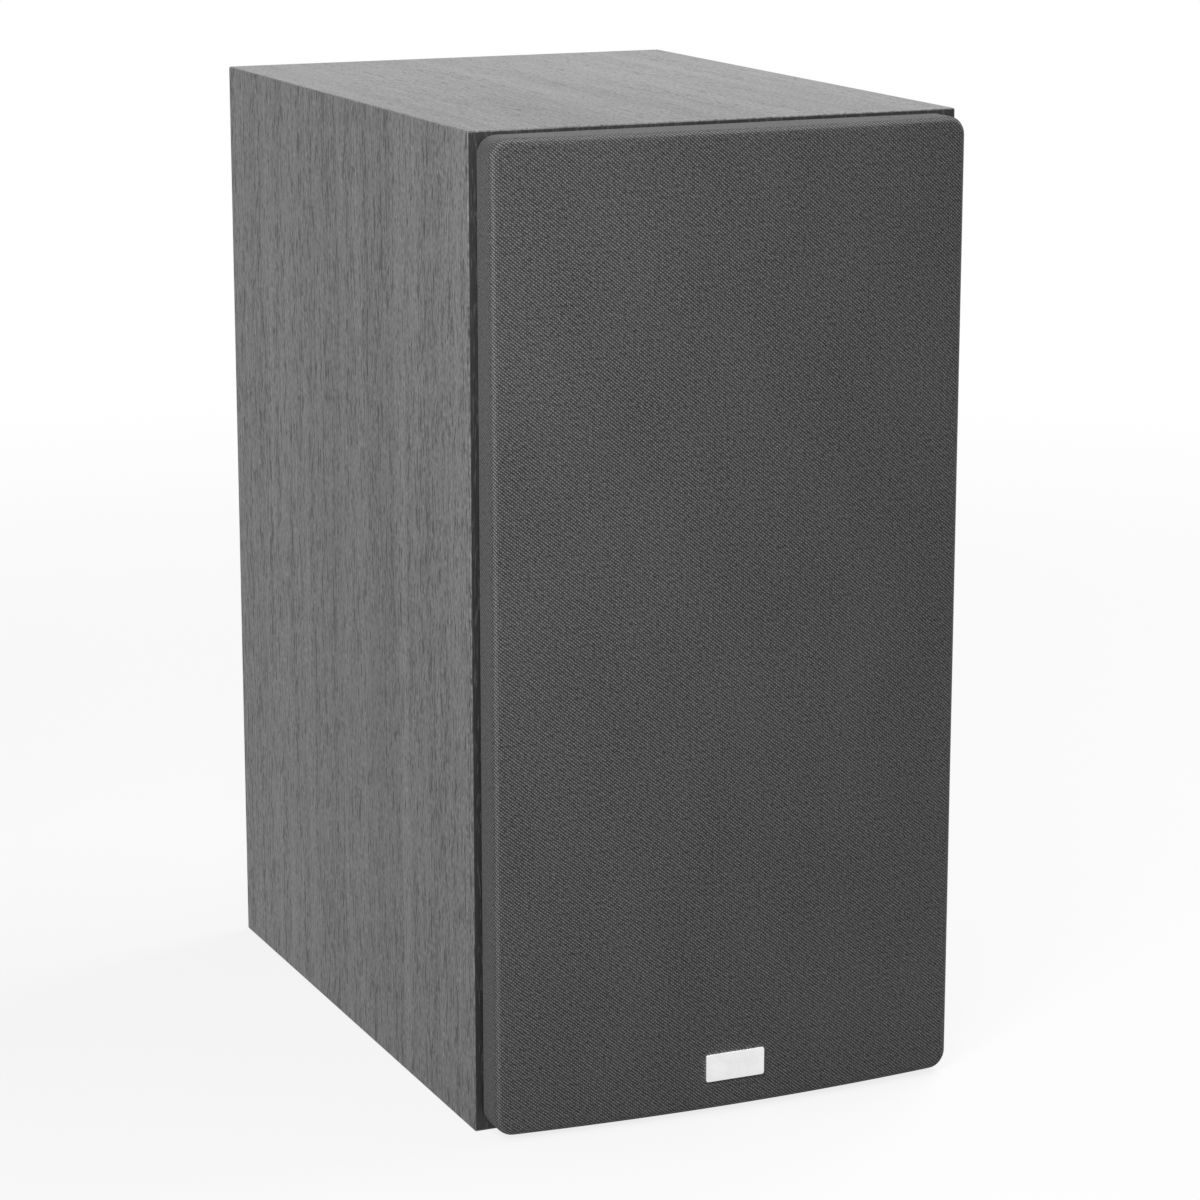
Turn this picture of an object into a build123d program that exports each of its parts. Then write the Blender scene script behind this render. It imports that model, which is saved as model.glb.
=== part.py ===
from build123d import *
from math import asin, cos, radians, sin, sqrt, tan
import os

# Two-way bookshelf loudspeaker with a pull-off cloth grille.
# Millimetres, +Z up. The origin is the centre of the cabinet's underside, the front faces -Y
# and +X is on the right of someone who looks at the grille.

# ---- cabinet -------------------------------------------------------------------------------------
HEIGHT = 375.0
WIDTH = 196.0
DEPTH = 265.0
PANEL = 12.0                  # side, top and bottom boards
BAFFLE = 15.0
BACK = 12.0
BRACE = 12.0
BRACE_HEIGHT = 240.0          # middle of the shelf brace, between the two drivers
BRACE_RIM = 26.0              # wood left round each window of the brace
BRACE_WINDOW_R = 14.0

SEAT_GAP = 0.3                # flange or plate in its recess, all round
PART_GAP = 0.05               # pieces that fit in each other: pins, tubes, screws in their holes
EDGE_BEVEL = 0.8              # broken edges of moulded and cast pieces

# ---- grille --------------------------------------------------------------------------------------
GRILLE_SIDE_MARGIN = 3.0
GRILLE_TOP_MARGIN = 1.5
GRILLE_BOTTOM_MARGIN = 2.0
GRILLE_GAP = 1.0              # from the baffle to the grille's back
GRILLE_EDGE = 14.8            # how far the front stands out at the sides
GRILLE_CROWN = 20.2           # and in the middle
GRILLE_CORNER_R = 7.0
GRILLE_EDGE_R = 3.0
CLOTH = 0.6
CLOTH_TURN_IN = 6.5           # width of the cloth turned in behind the frame
RAIL = 9.0                    # width of the frame's rails at the back
RAIL_DRAFT = 6.0              # degrees: rails are narrower in front
CROSS_BAR = 7.0
CROSS_BAR_DEPTH = 7.0
BOSS_R = 7.5
BOSS_DEPTH = 12.0
WEB = 8.0
PEG_R = 3.95
PEG_DEPTH = 11.5
PEG_STUD_R = 2.5
PEG_STUD = 8.0
PEG_INSET_X = 7.0             # from the inner face of the side board
PEG_INSET_Z = 13.0            # from those of the top and bottom boards
SOCKET_BORE_R = 4.0
SOCKET_WALL = 1.0
SOCKET_RIM = 1.4
SOCKET_RIM_T = 0.8
SOCKET_RIM_BEVEL = 0.2
SOCKET_DEPTH = 13.0
SOCKET_FLOOR = 1.0
BADGE_W = 24.5
BADGE_H = 11.0
BADGE_T = 1.4
BADGE_HEIGHT = 19.3
BADGE_CORNER_R = 1.0
BADGE_PIN_R = 1.0
BADGE_PIN = 4.0
BADGE_PIN_SPACING = 14.0
PAD_MARGIN = 4.0              # of the frame's pad round the badge
PAD_T = 6.0

# ---- woofer (radii, and depths behind the front of its flange) -----------------------------------
WOOFER_HEIGHT = 149.0
WOOFER_R = 82.0
WOOFER_FLANGE = 4.0
WOOFER_GASKET = 1.0
WOOFER_CUTOUT_R = 73.5
WOOFER_SCREW_CIRCLE_R = 77.7
WOOFER_SCREWS = 6
LAND_R = 74.1                 # recess that the surround's rim lies in
LAND_DEPTH = 1.6
BASKET_SKIRT_R = 72.2
BASKET_SKIRT_DEPTH = 15.0
BASKET_WALL = 2.3
SPIDER_LAND_R = 51.0
SPIDER_LAND_DEPTH = 44.2
SPIDER_LAND_IN_R = 42.5
SPIDER_RIM = 2.0              # low wall round the spider
CUP_SHOULDER = 5.0            # sloping step from the spider's land to the magnet cup
BASKET_CUP_R = 41.2
BASKET_DEPTH = 58.0
BASKET_HOLE_LIP = 1.65        # hole under the magnet, wider than the top plate's
BASKET_SPOKES = 6
SPOKE_HALF_ANGLE = 8.0
WINDOW_TOP_DEPTH = 17.0
WINDOW_BOTTOM_DEPTH = 40.0
WINDOW_IN_R = 46.0
WINDOW_CORNER_R = 5.0
RIB = 3.0
RIB_FOOT = 3.0                # width of a rib's foot on the magnet cup
RIB_DROP = 5.0                # start of a rib's free edge, below the skirt's end
CONE_R = 62.0
CONE_NECK_DEPTH = 31.0
CONE_SAG = 2.5                # how far the cone's flared side bows from a straight line
CONE_WALL = 0.9
ROLL_R = 4.55                 # surround's half roll, outside
ROLL_WALL = 0.7
SURROUND_LIP = 1.7
CAP_R = 19.0
CAP_RISE = 7.0
CAP_WALL = 0.8
COIL_IN_R = 12.75
FORMER_WALL = 0.25
FORMER_TOP_DEPTH = 30.0
FORMER_DEPTH = 69.0
WINDING_WALL = 0.75
WINDING = 14.0
SPIDER_WALL = 0.6
SPIDER_WAVES = 5
SPIDER_WAVE_RISE = 1.6
SPIDER_COLLAR = 3.0
TOP_PLATE_R = 38.0
TOP_PLATE = 6.0
COIL_AIR = 0.6                # air each side of the coil in the magnet's gap
MAGNET_R = 45.0
MAGNET_STEP = 7.65            # magnet's hole, wider than the top plate's
MAGNET = 17.0
MAGNET_BEVEL = 1.0
YOKE_R = 42.0
YOKE = 6.0
POLE_RISE = 1.0               # pole's end above the top plate
POLE_VENT_R = 4.0
TAG_STRIP_W = 22.0
TAG_STRIP_H = 7.0
TAG_STRIP_T = 1.6
TAG_W = 4.8
TAG_T = 0.8
TAG = 8.0
TAG_SPACING = 12.0

# ---- tweeter -------------------------------------------------------------------------------------
TWEETER_HEIGHT = 298.0
TWEETER_R = 54.0
TWEETER_FLANGE = 4.0
TWEETER_CUTOUT_R = 40.0
TWEETER_SCREW_CIRCLE_R = 50.4
TWEETER_SCREWS = 4
HORN_MOUTH_R = 47.0
HORN_DEPTH = 11.5
HORN_BOW = 2.5                # how far the horn's side bows from a straight line
HORN_BACK_R = 39.3
HORN_BACK_BEVEL = 3.0
TWEETER_SEAT_DEPTH = 14.0
DOME_R = 12.8
DOME_RISE = 5.6
DOME_WALL = 0.35
DOME_BASE_DEPTH = 12.9
DOME_SKIRT = 1.0
TWEETER_ROLL_R = 1.65
TWEETER_ROLL_WALL = 0.4
TWEETER_ROLL_RIM = 1.1        # flat rim of the surround, inside the horn's throat
TWEETER_FORMER_WALL = 0.2
TWEETER_FORMER_DEPTH = 19.5
TWEETER_WINDING_WALL = 0.4
TWEETER_WINDING = 3.4
TWEETER_PLATE_R = 36.0
TWEETER_PLATE = 4.0
TWEETER_COIL_AIR = 0.4
TWEETER_MAGNET_R = 33.0
TWEETER_MAGNET_STEP = 2.9
TWEETER_MAGNET = 10.0
TWEETER_YOKE_R = 31.0
TWEETER_YOKE = 5.0
TWEETER_POLE_DROP = 0.6       # pole's end below the plate's front
TWEETER_VENT_R = 2.5
CAN_WALL = 2.0
CAN_BEVEL = 2.0
CAN_DEPTH = 50.0

# ---- slot port -----------------------------------------------------------------------------------
PORT_HEIGHT = 38.5
SLOT_W = 112.0
SLOT_H = 24.0
SLOT_CORNER_R = 8.0
PORT_WALL = 2.5
PORT_LENGTH = 125.0
PORT_FLARE_R = 7.0
PORT_FLARE_WALL = 2.0
PORT_FLANGE_LIP = 2.0
PORT_FLANGE = 3.0
PORT_BLOCK = 9.0              # depth of the thick mouth that the flare is cut in

# ---- terminal cup and binding posts --------------------------------------------------------------
CUP_HEIGHT = 105.0
CUP_W = 112.0
CUP_H = 84.0
CUP_CORNER_R = 9.0
CUP_FLANGE = 3.0
CUP_GASKET = 1.0
CUP_EDGE_R = 1.2
POCKET_W = 88.0
POCKET_H = 58.0
POCKET_CORNER_R = 8.0
POCKET_DRAFT = 4.0            # how much each side of the pocket comes in towards its floor
POCKET_DEPTH = 24.0           # floor behind the back panel's face
CUP_WALL = 2.5
CUP_FLOOR = 3.0
CUP_CUTOUT_GAP = 1.5
CUP_SCREW_INSET = 5.0
POST_SPACING = 19.05
POST_BOSS_R = 6.5
POST_BOSS = 3.0
POST_FLANGE_R = 5.2
POST_FLANGE = 1.5
POST_R = 3.2
POST = 25.5                   # end of the post, from the pocket's floor
POST_BEVEL = 0.4
POST_STUD_R = 2.0
POST_STUD = 14.0
PLUG_BORE_R = 2.0
PLUG_BORE = 16.8
WIRE_HOLE_R = 1.5
RING_R = 5.4
RING = 1.6
TURN_GAP = 0.1                # between the ring and what it is clamped by
CAP_NUT_R = 7.0
CAP_NUT_END = 27.0
CAP_NUT_END_T = 1.0
CAP_NUT_HOLE_R = 3.0
CAP_NUT_COLLAR = 3.0          # plain collar before the flutes
CAP_NUT_FLUTES = 12
CAP_NUT_FLUTE_R = 1.3
INSERT_WALL = 1.3
NUT_FLATS = 7.0
NUT = 3.2
SOLDER_TAG = 0.8
SOLDER_TAG_R = 4.5
SOLDER_TAG_W = 5.0
SOLDER_TAG_REACH = 15.0

# ---- screws --------------------------------------------------------------------------------------
SCREW_HEAD_R = 3.3
SCREW_HEAD = 2.0
SCREW_SHANK_R = 1.7
SCREW_POINT = 2.0
WOOFER_SCREW = 14.0
TWEETER_SCREW = 13.0
CUP_SCREW = 12.0
BOARD_SCREW = 8.0             # into the back panel

# ---- crossover, on the inside of the back panel --------------------------------------------------
BOARD_HEIGHT = 192.0
BOARD_W = 140.0
BOARD_H = 62.0
BOARD = 1.6
BOARD_CORNER_R = 2.0
STANDOFF = 8.0
STANDOFF_R = 3.5
STANDOFF_INSET = 5.0
COIL_SIZES = ((-44.0, 0.0, 21.0, 9.0, 18.0), (1.0, 8.0, 17.0, 7.0, 16.0))   # x, y, R, hole R, length
COIL_CHEEK = 1.5
COIL_CHEEK_LIP = 2.0          # cheek beyond the winding
CAPACITORS = ((34.0, 14.0, 8.0, 30.0), (34.0, -6.0, 9.0, 34.0))             # x, y, R, length
RESISTORS = ((2.0, -21.0), (40.0, -24.0))
RESISTOR = (24.0, 7.0, 8.0)

# ---- internal leads ------------------------------------------------------------------------------
LEAD_R = 0.8
LEAD_BEND = 0.45              # share of the shorter run that each arc's tangent takes
BOARD_LEAD_EDGE = 2.5         # landing places of the input leads, from the board's lower edge
INPUT_LEAD_RUN_Y = 86.7       # where the input leads rise
WOOFER_LEAD_TAG = 2.0         # from the end of a tag
WOOFER_LEAD_LANDS = ((60.0, 2.0), (60.0, -8.0))
TWEETER_LEAD_LAND = 27.0      # above the board's middle

# ---- wadding -------------------------------------------------------------------------------------
PAD_THICK = 18.0
PAD_AIR = 0.3
PAD_FRONT = 45.0              # clear of the drivers, from the baffle's back
PAD_REAR = 30.0
PAD_EDGE_R = 6.0

# ---- worked out from the above -------------------------------------------------------------------
INNER_WIDTH = WIDTH - 2 * PANEL
INNER_HEIGHT = HEIGHT - 2 * PANEL
INNER_DEPTH = DEPTH - BAFFLE - BACK

GRILLE_W = WIDTH - 2 * GRILLE_SIDE_MARGIN
GRILLE_H = HEIGHT - GRILLE_TOP_MARGIN - GRILLE_BOTTOM_MARGIN
GRILLE_MIDDLE = GRILLE_BOTTOM_MARGIN + GRILLE_H / 2
GRILLE_RISE = GRILLE_CROWN - GRILLE_EDGE
BOW_R = ((GRILLE_W / 2) ** 2 + GRILLE_RISE**2) / (2 * GRILLE_RISE)
PEG_PLACES = [
    (side * (WIDTH / 2 - PANEL - PEG_INSET_X), height)
    for side in (-1, 1)
    for height in (PANEL + PEG_INSET_Z, HEIGHT - PANEL - PEG_INSET_Z)
]

COIL_OUT_R = COIL_IN_R + FORMER_WALL
WINDING_OUT_R = COIL_OUT_R + WINDING_WALL
TOP_PLATE_HOLE_R = WINDING_OUT_R + COIL_AIR
TOP_PLATE_DEPTH = BASKET_DEPTH
MAGNET_DEPTH = TOP_PLATE_DEPTH + TOP_PLATE
YOKE_DEPTH = MAGNET_DEPTH + MAGNET
ROLL_MIDDLE_R = CONE_R + ROLL_R
TAG_DEPTH = (SPIDER_LAND_DEPTH + CUP_SHOULDER + BASKET_WALL / 2 + BASKET_DEPTH) / 2

DOME_IN_R = DOME_R - DOME_WALL
TWEETER_ROLL_IN_R = DOME_R + PART_GAP + SEAT_GAP
TWEETER_ROLL_OUT_R = TWEETER_ROLL_IN_R + 2 * TWEETER_ROLL_R
HORN_THROAT_R = TWEETER_ROLL_OUT_R + TWEETER_ROLL_RIM
TWEETER_HOLE_R = DOME_IN_R + TWEETER_WINDING_WALL + TWEETER_COIL_AIR
TWEETER_MAGNET_DEPTH = TWEETER_SEAT_DEPTH + TWEETER_PLATE
TWEETER_YOKE_DEPTH = TWEETER_MAGNET_DEPTH + TWEETER_MAGNET

RING_START = POST_BOSS + POST_FLANGE + TURN_GAP
CAP_NUT_START = RING_START + RING + TURN_GAP
POST_PLACES = (("red", POST_SPACING / 2), ("black", -POST_SPACING / 2))

# Outward planes: local x to the right of someone facing that side, local y up, local z outwards
FRONT = Plane(origin=(0, -DEPTH / 2, 0), x_dir=(1, 0, 0), z_dir=(0, -1, 0)).location
REAR = Plane(origin=(0, DEPTH / 2, 0), x_dir=(-1, 0, 0), z_dir=(0, 1, 0)).location
REAR_INSIDE = Plane(origin=(0, DEPTH / 2 - BACK, 0), x_dir=(1, 0, 0), z_dir=(0, -1, 0)).location


# ---- helpers -------------------------------------------------------------------------------------
def turned(*points):
    """Solid of revolution about local Z, from a closed outline of (radius, z) corners."""
    return revolve(make_face(Plane.XZ * Polyline(*points, close=True)), Axis.Z)


def turned_edges(*edges):
    """The same from lines and arcs that close on each other."""
    outline = Curve() + [Plane.XZ * edge for edge in edges]
    return revolve(make_face(outline.edges()), Axis.Z)


def dome_arc(radius, foot, top):
    """Arc of a spherical cap from (radius, foot) up to (0, top)."""
    rise = top - foot
    ball = (radius**2 + rise**2) / (2 * rise)
    half_way = asin(radius / ball) / 2
    middle = (ball * sin(half_way), top - ball + ball * cos(half_way))
    return ThreePointArc((radius, foot), middle, (0, top))


def disc(radius, low, high, bore=0.0):
    """Disc or ring about local Z."""
    body = Pos(0, 0, (low + high) / 2) * Cylinder(radius, high - low)
    if bore:
        body -= Pos(0, 0, (low + high) / 2) * Cylinder(bore, high - low + 2)
    return body


def slab(width, height, low, high, corner):
    """Plate with rounded corners, from local z low to high."""
    return Pos(0, 0, low) * extrude(RectangleRounded(width, height, corner), high - low)


def tapered(width, height, corner, low, high, draft):
    """Block with rounded corners that loses draft from each side between z = high and z = low."""
    wide = Pos(0, 0, high) * RectangleRounded(width, height, corner)
    narrow = Pos(0, 0, low) * RectangleRounded(width - 2 * draft, height - 2 * draft, corner - draft / 2)
    return loft([wide, narrow])


def round_places(radius, count, first=0.0):
    """Places evenly round a circle in the local XY plane, the first at an angle in degrees."""
    step = 360.0 / count
    return [
        (radius * cos(radians(first + i * step)), radius * sin(radians(first + i * step)))
        for i in range(count)
    ]


def screw(length, gap=0.0):
    """Countersunk screw with its head's face at local z = 0; gap widens it into its own hole."""
    shank = SCREW_SHANK_R + gap
    return turned(
        (0, 0),
        (SCREW_HEAD_R + gap, 0),
        (shank, -SCREW_HEAD),
        (shank, SCREW_POINT - length),
        (0, -length - gap),
    )


def screws(places, length, gap=0.0):
    """One screw, or screw hole, at each place."""
    return [Pos(x, y, 0) * screw(length, gap) for x, y in places]


WOOFER_SCREW_PLACES = round_places(WOOFER_SCREW_CIRCLE_R, WOOFER_SCREWS)
TWEETER_SCREW_PLACES = round_places(TWEETER_SCREW_CIRCLE_R, TWEETER_SCREWS, 45.0)
CUP_SCREW_PLACES = [
    (i * (CUP_W / 2 - CUP_SCREW_INSET), j * (CUP_H / 2 - CUP_SCREW_INSET))
    for i in (-1, 1)
    for j in (-1, 1)
]
WOOFER_AT = FRONT * Pos(0, WOOFER_HEIGHT, 0)
TWEETER_AT = FRONT * Pos(0, TWEETER_HEIGHT, 0)
PORT_AT = FRONT * Pos(0, PORT_HEIGHT, 0)
CUP_AT = REAR * Pos(0, CUP_HEIGHT, 0)
CUP_FACE = CUP_GASKET + CUP_FLANGE
FLOOR_AT = CUP_AT * Pos(0, 0, -POCKET_DEPTH)
STANDOFF_PLACES = [
    (i * (BOARD_W / 2 - STANDOFF_INSET), j * (BOARD_H / 2 - STANDOFF_INSET))
    for i in (-1, 1)
    for j in (-1, 1)
]
BOARD_AT = REAR_INSIDE * Pos(0, BOARD_HEIGHT, 0)
BOARD_TOP = STANDOFF + BOARD
BOARD_FACE_Y = DEPTH / 2 - BACK - BOARD_TOP


# ---- cabinet -------------------------------------------------------------------------------------
def mitred_board(length):
    """Board across the cabinet's section, outer face at y = 0, its two ends mitred at 45 degrees."""
    half = length / 2
    section = make_face(
        Polyline((-half, 0), (half, 0), (half - PANEL, PANEL), (PANEL - half, PANEL), close=True)
    )
    return extrude(section, -DEPTH)


def cabinet_boards():
    """The wrap: two sides, top and bottom, each running the full depth."""
    return {
        "cabinet_bottom": FRONT * mitred_board(WIDTH),
        "cabinet_top": FRONT * Pos(0, HEIGHT, 0) * Rot(0, 0, 180) * mitred_board(WIDTH),
        "cabinet_left": FRONT * Pos(-WIDTH / 2, HEIGHT / 2, 0) * Rot(0, 0, -90) * mitred_board(HEIGHT),
        "cabinet_right": FRONT * Pos(WIDTH / 2, HEIGHT / 2, 0) * Rot(0, 0, 90) * mitred_board(HEIGHT),
    }


def front_baffle():
    """Board between the wrap's front edges, cut and recessed for drivers, port and grille sockets."""
    board = FRONT * Pos(0, HEIGHT / 2, -BAFFLE / 2) * Box(INNER_WIDTH, INNER_HEIGHT, BAFFLE)
    woofer_seat = WOOFER_FLANGE + WOOFER_GASKET
    cuts = [
        WOOFER_AT * disc(WOOFER_R + SEAT_GAP, -woofer_seat, 1),
        WOOFER_AT * disc(WOOFER_CUTOUT_R, -BAFFLE - 1, 0),
        TWEETER_AT * disc(TWEETER_R + SEAT_GAP, -TWEETER_FLANGE, 1),
        TWEETER_AT * disc(TWEETER_CUTOUT_R, -BAFFLE - 1, 0),
        PORT_AT * port_flange(SEAT_GAP, 1.0),
        PORT_AT * port_mouth(SEAT_GAP, BAFFLE + 1),
    ]
    cuts += [WOOFER_AT * hole for hole in screws(WOOFER_SCREW_PLACES, WOOFER_SCREW, PART_GAP)]
    cuts += [TWEETER_AT * hole for hole in screws(TWEETER_SCREW_PLACES, TWEETER_SCREW, PART_GAP)]
    cuts += [
        FRONT * Pos(x, z, 0) * disc(SOCKET_BORE_R + SOCKET_WALL + PART_GAP, -BAFFLE - 1, 1)
        for x, z in PEG_PLACES
    ]
    return board - cuts


def back_panel():
    """Board between the wrap's rear edges, with the terminal cup's cut-out and screw holes."""
    board = REAR * Pos(0, HEIGHT / 2, -BACK / 2) * Box(INNER_WIDTH, INNER_HEIGHT, BACK)
    gap = 2 * (CUP_WALL + CUP_CUTOUT_GAP)
    cuts = [CUP_AT * slab(POCKET_W + gap, POCKET_H + gap, -BACK - 1, 1, POCKET_CORNER_R + gap / 2)]
    cuts += [CUP_AT * Pos(0, 0, CUP_FACE) * hole for hole in screws(CUP_SCREW_PLACES, CUP_SCREW, PART_GAP)]
    board_hole = disc(SCREW_SHANK_R + PART_GAP, -BOARD_SCREW - PART_GAP, 1)
    cuts += [BOARD_AT * Pos(x, y, 0) * board_hole for x, y in STANDOFF_PLACES]
    return board - cuts


def window_brace():
    """Shelf between baffle and back panel with two windows and a rib between them."""
    middle_y = (BAFFLE - BACK) / 2
    shelf = Pos(0, middle_y, BRACE_HEIGHT) * Box(INNER_WIDTH, INNER_DEPTH, BRACE)
    window_depth = (INNER_DEPTH - 3 * BRACE_RIM) / 2
    window = extrude(
        RectangleRounded(INNER_WIDTH - 2 * BRACE_RIM, window_depth, BRACE_WINDOW_R), BRACE + 2
    )
    for side in (-1, 1):
        y = middle_y + side * (window_depth + BRACE_RIM) / 2
        shelf -= Pos(0, y, BRACE_HEIGHT - BRACE / 2 - 1) * window
    return shelf


def wadding():
    """Fibre pads on the side walls, below and above the brace."""
    depth = INNER_DEPTH - PAD_FRONT - PAD_REAR
    middle_y = -DEPTH / 2 + BAFFLE + PAD_FRONT + depth / 2
    levels = (
        (PANEL + PAD_AIR, BRACE_HEIGHT - BRACE / 2 - PAD_AIR),
        (BRACE_HEIGHT + BRACE / 2 + PAD_AIR, HEIGHT - PANEL - PAD_AIR),
    )
    pads = []
    for side in (-1, 1):
        for low, high in levels:
            pad = Box(PAD_THICK, depth, high - low)
            pad = fillet(pad.faces().sort_by(Axis.X)[-1].edges(), PAD_EDGE_R)
            turn = 0 if side < 0 else 180
            x = side * (INNER_WIDTH / 2 - PAD_AIR - PAD_THICK / 2)
            pads.append(Pos(x, middle_y, (low + high) / 2) * Rot(0, 0, turn) * pad)
    return pads


# ---- grille --------------------------------------------------------------------------------------
def grille_envelope(inset):
    """The covered grille's form, bowed forward in plan, taken in by inset on every side."""
    low = GRILLE_GAP + inset
    block = slab(GRILLE_W - 2 * inset, GRILLE_H - 2 * inset, low, GRILLE_CROWN + 1, GRILLE_CORNER_R - inset)
    drum = Pos(0, 0, GRILLE_CROWN - BOW_R) * Rot(90, 0, 0) * Cylinder(BOW_R - inset, 2 * GRILLE_H)
    body = block & drum
    front = body.faces().sort_by(Axis.Z)[-1]
    return FRONT * Pos(0, GRILLE_MIDDLE, 0) * fillet(front.edges(), GRILLE_EDGE_R - inset)


def badge_pins(radius, start, length):
    """The badge's two pins, or the holes for them."""
    return [
        FRONT * Pos(side * BADGE_PIN_SPACING / 2, BADGE_HEIGHT, 0) * disc(radius, start - length, start)
        for side in (-1, 1)
    ]


def grille_cloth():
    """Cloth drawn over the frame's front and sides and turned in behind it."""
    opening_w = GRILLE_W - 2 * CLOTH_TURN_IN
    opening_h = GRILLE_H - 2 * CLOTH_TURN_IN
    opening = FRONT * Pos(0, GRILLE_MIDDLE, 0) * slab(
        opening_w, opening_h, GRILLE_GAP - 1, GRILLE_GAP + CLOTH + 1, GRILLE_CORNER_R / 2
    )
    cloth = grille_envelope(0) - grille_envelope(CLOTH) - opening
    return cloth - badge_pins(BADGE_PIN_R + PART_GAP, GRILLE_CROWN + 1, BADGE_PIN)


def grille_frame():
    """Moulded frame: bowed rails with draft, cross bar, peg bosses with webs, pad for the badge."""
    form = grille_envelope(CLOTH)
    back = GRILLE_GAP + CLOTH
    window_w = GRILLE_W - 2 * RAIL
    window_h = GRILLE_H - 2 * RAIL
    window = extrude(RectangleRounded(window_w, window_h, GRILLE_CORNER_R), GRILLE_CROWN, taper=-RAIL_DRAFT)
    window += slab(window_w, window_h, -2, 1, GRILLE_CORNER_R)
    frame = form - FRONT * Pos(0, GRILLE_MIDDLE, back) * window

    bar_height = (WOOFER_HEIGHT + WOOFER_R + TWEETER_HEIGHT - TWEETER_R) / 2
    bar_at = FRONT * Pos(0, bar_height, back + CROSS_BAR_DEPTH / 2)
    frame += bar_at * Box(window_w + RAIL, CROSS_BAR, CROSS_BAR_DEPTH)
    for x, z in PEG_PLACES:
        boss_back = SOCKET_RIM_T + PART_GAP
        frame += FRONT * Pos(x, z, 0) * disc(BOSS_R, boss_back, BOSS_DEPTH)
        reach = GRILLE_W / 2 - RAIL / 2 - abs(x)
        web_x = (x / abs(x)) * (abs(x) + reach / 2)
        frame += FRONT * Pos(web_x, z, (back + BOSS_DEPTH) / 2) * Box(reach, WEB, BOSS_DEPTH - back)
        frame -= FRONT * Pos(x, z, 0) * disc(PEG_STUD_R + PART_GAP, 0, GRILLE_GAP + PEG_STUD + PART_GAP)

    pad_top = BADGE_HEIGHT + BADGE_H / 2 + PAD_MARGIN
    pad_low = GRILLE_BOTTOM_MARGIN + RAIL / 2
    pad = FRONT * Pos(0, (pad_top + pad_low) / 2, GRILLE_CROWN - PAD_T / 2) * Box(
        BADGE_W + 2 * PAD_MARGIN, pad_top - pad_low, PAD_T
    )
    frame += pad & form
    pin_room = BADGE_PIN + PART_GAP
    return frame - badge_pins(BADGE_PIN_R + PART_GAP, GRILLE_CROWN, pin_room)


def grille_pegs():
    """Pegs with a rounded tip, each on a stud in its boss."""
    tip = PEG_R / 2
    peg = turned(
        (0, -PEG_DEPTH),
        (PEG_R - tip, -PEG_DEPTH),
        (PEG_R, tip - PEG_DEPTH),
        (PEG_R, SOCKET_RIM_T),
        (PEG_STUD_R, SOCKET_RIM_T),
        (PEG_STUD_R, GRILLE_GAP + PEG_STUD),
        (0, GRILLE_GAP + PEG_STUD),
    )
    return [FRONT * Pos(x, z, 0) * peg for x, z in PEG_PLACES]


def grille_sockets():
    """Rimmed cups pushed into the baffle."""
    out_r = SOCKET_BORE_R + SOCKET_WALL
    cup = turned(
        (0, -SOCKET_DEPTH),
        (out_r, -SOCKET_DEPTH),
        (out_r, 0),
        (out_r + SOCKET_RIM, 0),
        (out_r + SOCKET_RIM, SOCKET_RIM_T - SOCKET_RIM_BEVEL),
        (out_r + SOCKET_RIM - SOCKET_RIM_BEVEL, SOCKET_RIM_T - PART_GAP),
        (SOCKET_BORE_R, SOCKET_RIM_T - PART_GAP),
        (SOCKET_BORE_R, SOCKET_FLOOR - SOCKET_DEPTH),
        (0, SOCKET_FLOOR - SOCKET_DEPTH),
    )
    return [FRONT * Pos(x, z, 0) * cup for x, z in PEG_PLACES]


def badge():
    """Blank bar with bevelled edges, on two pins."""
    plate = slab(BADGE_W, BADGE_H, GRILLE_CROWN, GRILLE_CROWN + BADGE_T, BADGE_CORNER_R)
    front_edges = plate.faces().sort_by(Axis.Z)[-1].edges()
    plate = FRONT * Pos(0, BADGE_HEIGHT, 0) * chamfer(front_edges, BADGE_T / 4)
    return plate + badge_pins(BADGE_PIN_R, GRILLE_CROWN + BADGE_T / 2, BADGE_PIN)


# ---- woofer --------------------------------------------------------------------------------------
def cone_line(drop):
    """The cone's flared side from rim to neck, lowered by drop: its rim, middle and neck."""
    rim = Vector(CONE_R - SURROUND_LIP, -LAND_DEPTH - drop)
    neck = Vector(COIL_OUT_R + PART_GAP, -CONE_NECK_DEPTH - drop)
    along = (neck - rim).normalized()
    middle = (rim + neck) / 2 + Vector(along.Y, -along.X) * CONE_SAG
    return rim, middle, neck


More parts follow.
